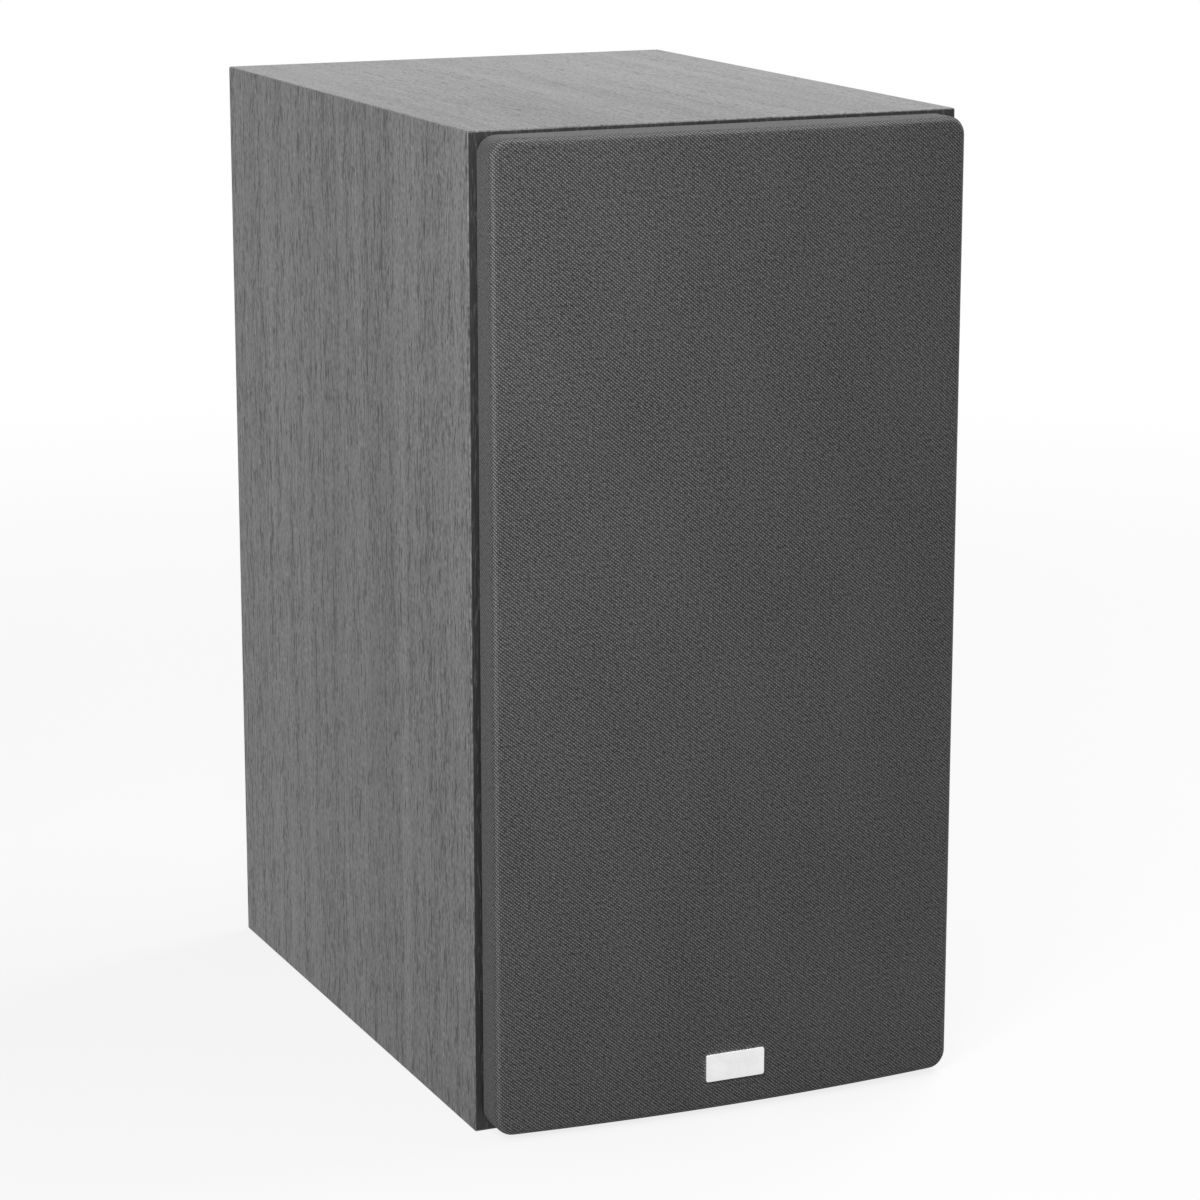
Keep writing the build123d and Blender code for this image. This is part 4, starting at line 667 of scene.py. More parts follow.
# ---- mesh work -----------------------------------------------------------------------------------
class Skin:
    """A mesh in the making, in millimetres."""

    def __init__(self) -> None:
        """Starts empty."""
        self.mesh = bmesh.new()

    def ring(self, points: Sequence[Place]) -> Row:
        """Adds a row of points."""
        return [self.mesh.verts.new(Vector(point) * MM) for point in points]

    def bridge(self, one: Row, two: Row, around: bool = True) -> list[bmesh.types.BMFace]:
        """Joins two rows with faces; a row of one point is a pole.

        Args:
            one: first row.
            two: second row.
            around: whether the rows close on themselves.

        Returns:
            The faces.
        """
        count = max(len(one), len(two))
        faces = []
        for i in range(count if around else count - 1):
            j = (i + 1) % count
            corners = [one[i % len(one)], one[j % len(one)], two[j % len(two)], two[i % len(two)]]
            unique = list(dict.fromkeys(corners))
            if len(unique) > 2:
                faces.append(self.mesh.faces.new(unique))
        return faces

    def loft(self, rows: Sequence[Row], around: bool = True) -> None:
        """Joins rows one after another."""
        for one, two in zip(rows, rows[1:]):
            self.bridge(one, two, around)

    def cap(self, rows: Sequence[Row], material: int = 0) -> None:
        """Closes the first and the last row, each with one face."""
        for row in (rows[0], rows[-1]):
            self.mesh.faces.new(row).material_index = material

    def turn(self, centre: Point, profile: Sequence[Point], steps: int) -> list[Row]:
        """Turns a profile round an axis that runs front to back.

        Args:
            centre: the axis's x and z.
            profile: radius and y of each point.
            steps: points round the axis.

        Returns:
            The rows of points, one for each point of the profile.
        """
        rows = []
        for radius, y in profile:
            angles = [tau * i / steps for i in range(steps if radius > 0 else 1)]
            points = [(centre[0] + radius * cos(a), y, centre[1] + radius * sin(a)) for a in angles]
            rows.append(self.ring(points))
        self.loft(rows)
        return rows

    def finish(self, name: str, sharp: float = 35.0, outward: bool = True) -> bpy.types.Mesh:
        """Turns the work into a mesh.

        Args:
            name: the mesh's name.
            sharp: edges that turn by more degrees than this stay sharp.
            outward: whether the faces are turned outwards first.

        Returns:
            The mesh, in metres.
        """
        if outward:
            bmesh.ops.recalc_face_normals(self.mesh, faces=self.mesh.faces)
        for face in self.mesh.faces:
            face.smooth = True
        for edge in self.mesh.edges:
            edge.smooth = len(edge.link_faces) < 2 or edge.calc_face_angle(0.0) < radians(sharp)
        made = bpy.data.meshes.new(name)
        self.mesh.to_mesh(made)
        self.mesh.free()
        return made


def add_piece(
    name: str,
    mesh: bpy.types.Mesh,
    finishes: Sequence[Finish],
    slot: str,
    body: Body | None,
    *replaces: str,
) -> bpy.types.Object:
    """Adds a piece to the model.

    Args:
        name: the piece's name.
        mesh: its mesh, in the shared frame.
        finishes: one finish for each of its material slots.
        slot: the record's slot that it belongs to; it is only logged.
        body: what it rides on, or None to leave it on no body.
        replaces: CAD nodes that it stands for.

    Returns:
        The piece.
    """
    piece = bpy.data.objects.new(name, mesh)
    bpy.context.scene.collection.objects.link(piece)
    for finish in finishes:
        mesh.materials.append(finish.material())
    if body is not None:
        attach(piece, body.value)
    if replaces:
        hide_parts(*replaces)
    log.info("piece %s: %d faces, slot %s", name, len(mesh.polygons), slot)
    return piece


def arc(centre: Point, radius: float, start: float, end: float, steps: int) -> list[Point]:
    """Points on an arc from one angle in degrees to another, in so many spans."""
    angles = [radians(start + (end - start) * i / steps) for i in range(steps + 1)]
    return [(centre[0] + radius * cos(a), centre[1] + radius * sin(a)) for a in angles]


def quarter(radius: float, steps: int) -> list[Point]:
    """Distances of a rounded edge's points from the two faces that it joins."""
    return [(radius + x, radius + y) for x, y in arc((0.0, 0.0), radius, 180.0, 270.0, steps)]


def outline_of(grid: Sequence[Row]) -> Row:
    """Outline of a grid of points, from its first point along its first row."""
    ends, starts = [row[-1] for row in grid[:-1]], [row[0] for row in grid[:0:-1]]
    return grid[0][:-1] + ends + grid[-1][:0:-1] + starts


def middle_of(node: str) -> Point:
    """Middle of a node's box, across and up, in millimetres."""
    low, high = box(node)
    return (low.x + high.x) / 2, (low.z + high.z) / 2


# ---- cabinet -------------------------------------------------------------------------------------
@dataclass
class Cabinet:
    """The vinyl wrap of four mitred boards, with black edges front and rear."""

    panel: float = PANEL
    corner: float = 0.9
    edge: float = 0.55
    steps: int = 4

    def section(self, length: float, inset: float) -> list[Point]:
        """A board's section.

        Args:
            length: the outer face's length.
            inset: how far the outer face is taken in.

        Returns:
            Points along the board and into it: the outer face with its corner halves, the inner.
        """
        radius = self.corner - inset
        outer = arc((self.corner, self.corner), radius, 225.0, 270.0, self.steps)
        outer += arc((length - self.corner, self.corner), radius, 270.0, 315.0, self.steps)
        return outer + [(length - self.panel, self.panel), (self.panel, self.panel)]

    def board(self, start: Place, along: Place, inward: Place, length: float) -> bpy.types.Mesh:
        """One board.

        Args:
            start: the sharp corner that its outer face starts from.
            along: direction of the outer face.
            inward: direction into the cabinet.
            length: the outer face's length.

        Returns:
            Its mesh: vinyl outside, black edges front and rear, raw inside.
        """
        skin = Skin()
        rounded = quarter(self.edge, self.steps)
        levels = [(FRONT_Y + back, inset) for back, inset in rounded]
        levels += [(REAR_Y - back, inset) for back, inset in reversed(rounded)]
        rows = []
        for y, inset in levels:
            section = self.section(length, inset)
            points = [Vector(start) + Vector(along) * u + Vector(inward) * v for u, v in section]
            rows.append(skin.ring([(p.x, y, p.z) for p in points]))
        outside = 2 * self.steps + 1
        for one, two in zip(rows, rows[1:]):
            for face in skin.bridge(one, two)[outside:]:
                face.material_index = 2
        skin.cap(rows, 1)
        return skin.finish("board", sharp=50.0)

    def build(self) -> None:
        """Builds the four boards in place of the plain ones."""
        low, high = box("cabinet_bottom")[0], box("cabinet_top")[1]
        width, height = high.x - low.x, high.z - low.z
        boards = {
            "bottom": ((low.x, 0, low.z), (1, 0, 0), (0, 0, 1), width),
            "right": ((high.x, 0, low.z), (0, 0, 1), (-1, 0, 0), height),
            "top": ((high.x, 0, high.z), (-1, 0, 0), (0, 0, -1), width),
            "left": ((low.x, 0, high.z), (0, 0, -1), (1, 0, 0), height),
        }
        for side, (start, along, inward, length) in boards.items():
            # the upright boards take the darker copy of the vinyl: painted shade
            finishes = (VINYL_UPRIGHT_SHADED if along[2] else VINYL_DEPTH, BLACK_UPRIGHT, RAW_BOARD)
            mesh = self.board(start, along, inward, length)
            node = f"cabinet_{side}"
            add_piece(f"board_{side}", mesh, finishes, "ash_vinyl", Body.CABINET, node)


# ---- grille --------------------------------------------------------------------------------------
@dataclass
class Grille:
    """Cloth drawn over a bowed frame, with a blank bar near its foot."""

    gap: float = 1.0
    crown: float = 20.2
    edge_depth: float = 14.8
    corner: float = 7.0
    least_corner: float = 0.4
    corner_steps: int = 4
    edge: float = 3.0
    edge_steps: int = 6
    side_levels: tuple[float, ...] = (0.25, 0.5, 0.75, 1.0)
    back_fold: float = 0.7
    fold_steps: int = 3
    turned_in: tuple[float, ...] = (2.5, 4.5, 6.5)
    cloth: float = 0.5
    columns: int = 38
    rows: int = 62
    badge_thick: float = 1.4
    badge_corner: float = 1.0
    badge_least: float = 0.2
    badge_corner_steps: int = 5
    badge_edge: float = 0.45
    badge_edge_steps: int = 3
    badge_crown: float = 0.05
    badge_face: tuple[Point, ...] = ((1.6, -0.02), (3.4, -0.05))
    pin: float = 1.0
    pin_root: float = 0.4
    pin_bevel: float = 0.3
    pin_reach: float = 4.0
    pin_spacing: float = 14.0
    pin_steps: int = 20

    def __post_init__(self) -> None:
        """Reads the grille's outline from the frame."""
        low, high = box("grille_cloth")
        self.half_w, self.half_h = (high.x - low.x) / 2, (high.z - low.z) / 2
        self.middle = (high.z + low.z) / 2
        rise = self.crown - self.edge_depth
        self.bow = (self.half_w**2 + rise**2) / (2 * rise)

    def rim(self, inset: float) -> list[Vector]:
        """Rounded outline.

        Args:
            inset: how far inside the grille's own outline it is.

        Returns:
            Its x and z, from the middle of the bottom left corner and round by the bottom.
        """
        w, h = self.half_w - inset, self.half_h - inset
        r = max(self.corner - inset, self.least_corner)
        centres = [(i * (w - r), j * (h - r)) for i, j in ((-1, -1), (1, -1), (1, 1), (-1, 1))]
        points: list[Vector] = []
        for k, spans in enumerate((self.columns, self.rows) * 2):
            bisector = 225.0 + 90.0 * k
            out = arc(centres[k], r, bisector, bisector + 45.0, self.corner_steps)
            into = arc(centres[(k + 1) % 4], r, bisector + 45.0, bisector + 90.0, self.corner_steps)
            first, last = Vector(out[-1]), Vector(into[0])
            points += [Vector(point) for point in out]
            points += [first.lerp(last, i / spans) for i in range(1, spans)]
            points += [Vector(point) for point in into[:-1]]
        return points

    def stand(self, x: float) -> float:
        """How far the front stands out at x."""
        return sqrt(self.bow**2 - x * x) - self.bow + self.crown

    def unrolled(self, x: float) -> float:
        """Distance along the bowed face from its middle to x."""
        return self.bow * asin(x / self.bow)

    def at(self, x: float, z: float, out: float) -> Place:
        """Point in the shared frame."""
        return (x, FRONT_Y - out, self.middle + z)

    def front(self, skin: Skin, flat: dict[bmesh.types.BMVert, Point]) -> Row:
        """The cloth's face, a grid inside the rounded outline.

        Args:
            skin: where it goes.
            flat: gets each point's place on the flat cut.

        Returns:
            The outline's points in rim's order.
        """
        rim = self.rim(self.edge)
        nx, nz = self.columns + 2 * self.corner_steps, self.rows + 2 * self.corner_steps
        bottom, right = rim[: nx + 1], rim[nx : nx + nz + 1]
        top, left = rim[nx + nz : 2 * nx + nz + 1][::-1], (rim[2 * nx + nz :] + rim[:1])[::-1]
        grid = []
        for west, east in zip(left, right):
            t = (west.y - left[0].y) / (left[-1].y - left[0].y)
            places = []
            for south, north in zip(bottom, top):
                s = (south.x - bottom[0].x) / (bottom[-1].x - bottom[0].x)
                corners = bottom[0].lerp(bottom[-1], s).lerp(top[0].lerp(top[-1], s), t)
                places.append(south.lerp(north, t) + west.lerp(east, s) - corners)
            grid.append(skin.ring([self.at(x, z, self.stand(x)) for x, z in places]))
            flat.update(zip(grid[-1], ((self.unrolled(x), z) for x, z in places)))
        skin.loft(grid, around=False)
        return outline_of(grid)

    def sides(self, skin: Skin, flat: dict[bmesh.types.BMVert, Point], start: Row) -> None:
        """Rounds the face's edge, goes back along the sides and folds in behind the frame.

        Args:
            skin: where it goes.
            flat: gets each point's place on the flat cut.
            start: the face's outline.
        """
        # Inset, share of the way to the back, drop from the front, rise from the back.
        edge = quarter(self.edge, self.edge_steps)[1:]
        levels = [(inset, 0.0, drop, 0.0) for drop, inset in edge]
        levels += [(0.0, share, self.edge, self.back_fold) for share in self.side_levels]
        folds = quarter(self.back_fold, self.fold_steps)[1:]
        folds += [(inset, 0.0) for inset in self.turned_in]
        levels += [(inset, 1.0, 0.0, rise) for inset, rise in folds]
        inner, outer = self.rim(self.edge), self.rim(0.0)
        rows, travelled = [start], [0.0] * len(start)
        for inset, share, drop, rise in levels:
            points = [
                self.at(x, z, (self.stand(x) - drop) * (1 - share) + (self.gap + rise) * share)
                for x, z in self.rim(inset)
            ]
            rows.append(skin.ring(points))
            for i, (vert, before) in enumerate(zip(rows[-1], rows[-2])):
                travelled[i] += (vert.co - before.co).length / MM
                away = (outer[i] - inner[i]).normalized() * travelled[i]
                flat[vert] = (self.unrolled(inner[i].x) + away.x, inner[i].y + away.y)
        skin.loft(rows)

    def build_cloth(self) -> None:
        """Builds the cloth as one sheet with its flat cut as its texture coordinates."""
        skin = Skin()
        flat: dict[bmesh.types.BMVert, Point] = {}
        self.sides(skin, flat, self.front(skin, flat))
        faces = skin.mesh.faces
        layer = skin.mesh.loops.layers.uv.new(KnitCloth.cut)
        for face in faces:
            for loop in face.loops:
                loop[layer].uv = Vector(flat[loop.vert]) * MM
        bmesh.ops.recalc_face_normals(skin.mesh, faces=faces)
        if min(faces, key=lambda face: face.calc_center_median().y).normal.y > 0:
            bmesh.ops.reverse_faces(skin.mesh, faces=faces)
        area = sum(face.calc_area() for face in faces)
        turned = self.edge * pi / 4
        half = (self.unrolled(self.half_w - self.edge) + turned, self.half_h - self.edge + turned)
        cloth = KnitCloth("knit_cloth", half, self.corner - self.edge + turned)
        mesh = skin.finish("cloth", sharp=60.0, outward=False)
        piece = add_piece(
            "cloth_cover", mesh, (cloth,), "grille_fabric", Body.GRILLE, "grille_cloth"
        )
        solid = piece.modifiers.new("thickness", "SOLIDIFY")
        solid.thickness = self.cloth * MM
        solid.offset = -1.0

    def build_badge(self) -> None:
        """Builds the blank bar: rounded edges, a slightly crowned face and two pins."""
        low, high = box("badge")
        z, front = middle_of("badge")[1], low.y
        w, h = (high.x - low.x) / 2, (high.z - low.z) / 2
        skin = Skin()
        levels = [(0.0, self.badge_thick + self.badge_crown), (0.0, self.badge_edge)]
        levels += quarter(self.badge_edge, self.badge_edge_steps)[1:] + list(self.badge_face)
        rows = []
        for inset, depth in levels:
            r = max(self.badge_corner - inset, self.badge_least)
            points = []
            for k, (i, j) in enumerate(((1, 1), (-1, 1), (-1, -1), (1, -1))):
                centre = (i * (w - inset - r), z + j * (h - inset - r))
                points += arc(centre, r, 90.0 * k, 90.0 * k + 90.0, self.badge_corner_steps)
            y = front + self.badge_crown + depth
            rows.append(skin.ring([(u, y, v) for u, v in points]))
        skin.loft(rows)
        skin.cap(rows)
        back = front + self.badge_thick
        root, tip = back - self.pin_root, back + self.pin_reach
        profile = [(0.0, root), (self.pin, root), (self.pin, tip - self.pin_bevel)]
        profile += [(self.pin - self.pin_bevel, tip), (0.0, tip)]
        for side in (-1, 1):
            skin.turn((side * self.pin_spacing / 2, z), profile, self.pin_steps)
        mesh = skin.finish("badge", sharp=40.0)
        add_piece("blank_bar", mesh, (SATIN_SILVER,), "satin_silver", Body.GRILLE, "badge")

    def build(self) -> None:
        """Builds the cloth and the bar."""
        self.build_cloth()
        self.build_badge()


# ---- drivers -------------------------------------------------------------------------------------
def half_roll(
    low: float, high: float, base: float, wall: float, steps: int
) -> tuple[list[Point], list[Point]]:
    """Section of a half roll that bulges forward.

    Args:
        low: radius of its inner foot.
        high: radius of its outer foot.
        base: y of its back.
        wall: its thickness.
        steps: spans round each face.

    Returns:
        Its front from the outer foot in, and its back from the inner foot out.
    """
    radius, middle = (high - low) / 2, (high + low) / 2
    front = arc((middle, base - wall), radius, 0.0, -180.0, steps)
    turns = [pi * i / steps for i in range(steps + 1)]
    inner = radius - wall
    return front, [(middle - inner * cos(t), base - radius * sin(t)) for t in turns]


@dataclass
class Roll:
    """Flexible ring between a fixed rim and a moving part, in sectors."""

    name: str
    node: str
    body: Body
    slot: str
    finish: Finish
    centre: Point
    profile: list[Point]
    held: float
    moved: float
    sectors: int
    steps: int

    def normals(self) -> list[Point]:
        """The profile's own normals, so that neighbouring sectors shade as one.

        Returns:
            The parts outwards and along y, for each point.
        """
        before, after = self.profile[-1:] + self.profile[:-1], self.profile[1:] + self.profile[:1]
        area = sum(r * y1 - r1 * y for (r, y), (r1, y1) in zip(self.profile, after))
        found = []
        for (r0, y0), (r1, y1) in zip(before, after):
            size = hypot(y1 - y0, r1 - r0) * (1 if area > 0 else -1)
            found.append(((y1 - y0) / size, (r0 - r1) / size))
        return found

    def sector(self, index: int) -> None:
        """Builds one sector, closed at its two ends.

        Args:
            index: which sector.
        """
        skin = Skin()
        wide = tau / self.sectors
        first = index * wide
        x, z = self.centre
        rows, facing = [], []
        for i in range(self.steps + 1):
            a = first + wide * i / self.steps
            rows.append(skin.ring([(x + r * cos(a), y, z + r * sin(a)) for r, y in self.profile]))
            facing += [(nr * cos(a), ny, nr * sin(a)) for nr, ny in self.normals()]
        skin.loft(rows)
        skin.cap(rows)
        skin.mesh.verts.index_update()
        mesh = skin.finish(f"{self.name}_{index:02d}", sharp=180.0)
        mesh.normals_split_custom_set_from_vertices(facing)
        piece = add_piece(mesh.name, mesh, (self.finish,), self.slot, None, self.node)
        middle, y = first + wide / 2, self.profile[0][1]
        start, end = (
            ((x + r * cos(middle)) * MM, y * MM, (z + r * sin(middle)) * MM)
            for r in (self.held, self.moved)
        )
        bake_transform(piece)

    def build(self) -> None:
        """Builds every sector."""
        for index in range(self.sectors):
            self.sector(index)


@dataclass
class Screws:
    """Countersunk screws with a hexagonal socket and a coarse thread."""

    name: str
    node: str
    places: list[Point]
    face_y: float
    outward: int
    length: float
    head_r: float = 3.3
    rim: tuple[Point, ...] = ((0.15, 0.0), (0.02, 0.12))
    head: float = 2.0
    shank_r: float = 1.68
    core_r: float = 1.25
    neck: float = 0.4
    point: float = 2.0
    pitch: float = 1.3
    socket_r: float = 1.45
    socket: float = 1.2
    socket_taper: float = 0.97
    socket_tip: float = 0.4
    steps: int = 24

    @staticmethod
    def circle(centre: Point, radius: float, count: int, first: float) -> list[Point]:
        """Places evenly round a circle, the first at an angle in degrees."""
        return arc(centre, radius, first, first + 360.0, count)[:-1]

    def profile(self) -> list[Point]:
        """Section from the rim of the head to the point.

        Returns:
            Radius and depth of each point.
        """
        points = [(self.head_r - within, depth) for within, depth in self.rim]
        points.append((self.shank_r, self.head))
        depth = self.head + self.neck
        while depth < self.length - self.point:
            points += [(self.core_r, depth), (self.shank_r, depth + self.pitch / 2)]
            depth += self.pitch
        return points + [(self.core_r, self.length - self.point), (0.0, self.length)]

    def hexagon(self, x: float, z: float, y: float, radius: float) -> list[Place]:
        """Hexagon with as many points as the head's rim.

        Args:
            x: its middle across.
            z: its middle up.
            y: its place front to back.
            radius: from its middle to a corner.

        Returns:
            The points.
        """
        points = []
        for i in range(self.steps):
            a = tau * i / self.steps
            off = (a + pi / 6) % (pi / 3) - pi / 6
            r = radius * cos(pi / 6) / cos(off)
            points.append((x + r * cos(a), y, z + r * sin(a)))
        return points

    def build(self) -> None:
        """Builds all screws of one kind as one piece."""
        skin = Skin()
        for x, z in self.places:
            turned = [(r, self.face_y - self.outward * depth) for r, depth in self.profile()]
            rows = skin.turn((x, z), turned, self.steps)
            low_y = self.face_y - self.outward * self.socket
            top = skin.ring(self.hexagon(x, z, self.face_y, self.socket_r))
            low = skin.ring(self.hexagon(x, z, low_y, self.socket_r * self.socket_taper))
            tip = skin.ring([(x, low_y - self.outward * self.socket_tip, z)])
            skin.loft([rows[0], top, low, tip])
        mesh = skin.finish(self.name)
        add_piece(self.name, mesh, (BLACK_STEEL,), "black_screw", Body.CABINET, self.node)


@dataclass
class Woofer:
    """Soft parts and screws of the woofer; radii and depths behind the front."""

    land: float = 1.6
    rim_r: float = 73.8
    rim_in: float = 0.2
    rim_back: float = 0.15
    bead_r: float = 72.6
    bead: float = 0.12
    bead_slope: float = 0.3
    roll_out_r: float = 71.1
    roll_in_r: float = 62.0
    lip_r: float = 60.3
    lip_in: float = 0.4
    lip_back: float = 0.35
    wall: float = 0.7
    roll_steps: int = 22
    roll_sectors: int = 48
    roll_sector_steps: int = 3
    spider_rim_r: float = 48.6
    spider_start_r: float = 42.5
    spider_end_r: float = 14.65
    spider_neck_r: float = 13.05
    spider_depth: float = 44.2
    spider_waves: int = 5
    spider_wave_steps: int = 12
    spider_sectors: int = 12
    spider_sector_steps: int = 8
    spider_rise: float = 0.8
    spider_wall: float = 0.6
    spider_collar: float = 3.0
    spider_seam: float = 1.0
    screw_circle: float = 77.7
    screw_count: int = 6
    screw: float = 14.0

    def roll_profile(self) -> list[Point]:
        """Surround: glued rim with a bead, half roll, lip on the cone.

        Returns:
            Radius and y of each point.
        """
        base = FRONT_Y + self.land
        top, bead = base - self.wall, base - self.wall - self.bead
        front, back = half_roll(self.roll_in_r, self.roll_out_r, base, self.wall, self.roll_steps)
        rim = [(self.rim_r, base), (self.rim_r, top + self.rim_back)]
        rim += [(self.rim_r - self.rim_in, bead), (self.bead_r, bead)]
        rim.append((self.bead_r - self.bead_slope, top))
        lip = [(self.lip_r + self.lip_in, top), (self.lip_r, top + self.lip_back)]
        lip.append((self.lip_r, base))
        return rim + front + lip + back

    def spider_profile(self) -> list[Point]:
        """Spider: flat rim, round waves, collar on the former.

        Returns:
            Radius and y of each point.
        """
        base = FRONT_Y + self.spider_depth
        steps = self.spider_wave_steps * self.spider_waves
        line = [(self.spider_rim_r, base), (self.spider_start_r, base)]
        for i in range(1, steps):
            r = self.spider_start_r + (self.spider_end_r - self.spider_start_r) * i / steps
            wave = sin(tau * self.spider_waves * i / steps)
            line.append((r, base - self.spider_rise * wave))
        line += [(self.spider_end_r, base), (self.spider_neck_r, base)]
        outside, top = self.spider_neck_r + self.spider_wall, base - self.spider_collar
        collar = [(self.spider_neck_r, top), (outside, top), (outside, base - self.spider_wall)]
        return line + collar + [(r, y - self.spider_wall) for r, y in reversed(line[:-1])]

    def build(self) -> None:
        """Builds surround, spider and screws."""
        centre = middle_of("woofer_basket")
        Roll(
            "surround", "woofer_surround", Body.WOOFER, "rubber", RUBBER, centre,
            self.roll_profile(), self.roll_out_r, self.roll_in_r,
            self.roll_sectors, self.roll_sector_steps,
        ).build()
        Roll(
            "spider", "woofer_spider", Body.WOOFER, "spider_cloth", SPIDER_CLOTH, centre,
            self.spider_profile(), self.spider_start_r, self.spider_end_r + self.spider_seam,
            self.spider_sectors, self.spider_sector_steps,
        ).build()
        places = Screws.circle(centre, self.screw_circle, self.screw_count, 0.0)
        Screws("screws_woofer", "woofer_screws", places, FRONT_Y, -1, self.screw).build()


@dataclass
class Tweeter:
    """Silk dome, its surround, and the faceplate's screws."""

    dome_r: float = 12.8
    dome_rise: float = 5.6
    dome_wall: float = 0.35
    dome_depth: float = 12.9
    dome_steps: int = 20
    around: int = 96
    skirt: float = 1.0
    seat: float = 14.0
    roll_in_r: float = 13.15
    roll_out_r: float = 16.45
    rim_r: float = 17.5
    lip_r: float = 12.85
    wall: float = 0.4
    roll_steps: int = 14
    sectors: int = 12
    sector_steps: int = 8
    screw_circle: float = 50.4
    screw_count: int = 4
    screw: float = 13.0

    def dome_profile(self) -> list[Point]:
        """Dome outside from its middle to the skirt, and back inside.

        Returns:
            Radius and y of each point.
        """
        ball = (self.dome_r**2 + self.dome_rise**2) / (2 * self.dome_rise)
        steps = self.dome_steps
        turns = [asin(self.dome_r / ball) * i / steps for i in range(steps + 1)]
        top = FRONT_Y + self.dome_depth - self.dome_rise
        outer = [(ball * sin(t), top + ball * (1 - cos(t))) for t in turns]
        foot = FRONT_Y + self.dome_depth + self.skirt
        inner_r = self.dome_r - self.dome_wall
        inner = [(r * inner_r / self.dome_r, y + self.dome_wall) for r, y in reversed(outer)]
        return outer + [(self.dome_r, foot), (inner_r, foot)] + inner

    def roll_profile(self) -> list[Point]:
        """Small half roll with its rim and lip.

        Returns:
            Radius and y of each point.
        """
        base = FRONT_Y + self.seat
        top = base - self.wall
        front, back = half_roll(self.roll_in_r, self.roll_out_r, base, self.wall, self.roll_steps)
        rim, lip = [(self.rim_r, base), (self.rim_r, top)], [(self.lip_r, top), (self.lip_r, base)]
        return rim + front + lip + back

    def build(self) -> None:
        """Builds dome, surround and screws."""
        centre = middle_of("tweeter_faceplate")
        skin = Skin()
        skin.turn(centre, self.dome_profile(), self.around)
        mesh = skin.finish("dome", sharp=60.0)
        add_piece("silk_dome", mesh, (SILK,), "silk", Body.TWEETER, "tweeter_dome")
        Roll(
            "dome_surround", "tweeter_surround", Body.TWEETER, "silk", SILK, centre,
            self.roll_profile(), self.roll_out_r, self.roll_in_r, self.sectors, self.sector_steps,
        ).build()
        places = Screws.circle(centre, self.screw_circle, self.screw_count, 45.0)
        Screws("screws_tweeter", "tweeter_screws", places, FRONT_Y, -1, self.screw).build()


# ---- rear and inside -----------------------------------------------------------------------------
@dataclass
class Terminals:
    """Screws of the terminal cup and the raised polarity marks beside the posts."""

    inset: float = 5.0
    pocket: float = 28.0
    screw: float = 12.0
    mark: float = 6.0
    stroke: float = 1.5
    raised: float = 0.5
    sunk: float = 0.2
    foot: float = 0.2
    bevel: float = 0.1
    bevel_in: float = 0.12
    clear: float = 0.002
    above: float = 17.5

    def bar(self, skin: Skin, x: float, z: float, wide: float, high: float, y: float) -> None:
        """Adds one raised stroke with sloping sides.

        Args:
            skin: where it goes.
            x: its middle across.
            z: its middle up.
            wide: its width.
            high: its height.
            y: the surface that it stands on.
        """
        levels = [(self.foot, -self.sunk), (self.foot, 0.0)]
        levels += [(0.0, self.raised - self.bevel), (-self.bevel_in, self.raised)]
        rows = []
        for grow, out in levels:
            w, h = wide / 2 + grow, high / 2 + grow
            corners = ((-w, -h), (w, -h), (w, h), (-w, h))
            rows.append(skin.ring([(x + i, y + out, z + j) for i, j in corners]))
        skin.loft(rows)
        skin.cap(rows)

    def build(self) -> None:
        """Builds the screws and the marks."""
        low, high = box("cup_gasket")
        x, z = high.x - self.inset, (high.z - low.z) / 2 - self.inset
        middle = (high.z + low.z) / 2
        places = [(i * x, middle + j * z) for i in (-1, 1) for j in (-1, 1)]
        face = box("terminal_cup")[1].y
        Screws("screws_cup", "cup_screws", places, face, 1, self.screw).build()

        floor, up = face - self.pocket, middle + self.above
        red, black = (middle_of(node)[0] for node in ("red_cap", "black_cap"))
        arm, offset = (self.mark - self.stroke) / 2, (self.mark + self.stroke) / 4
        skin = Skin()
        self.bar(skin, red, up, self.mark, self.stroke, floor)
        for side in (-1, 1):
            self.bar(skin, red, up + side * offset, self.stroke - self.clear, arm, floor)
        self.bar(skin, black, up, self.mark, self.stroke, floor)
        mesh = skin.finish("marks")
        add_piece("polarity_marks", mesh, (CUP_PLASTIC,), "black_plastic", Body.CABINET)


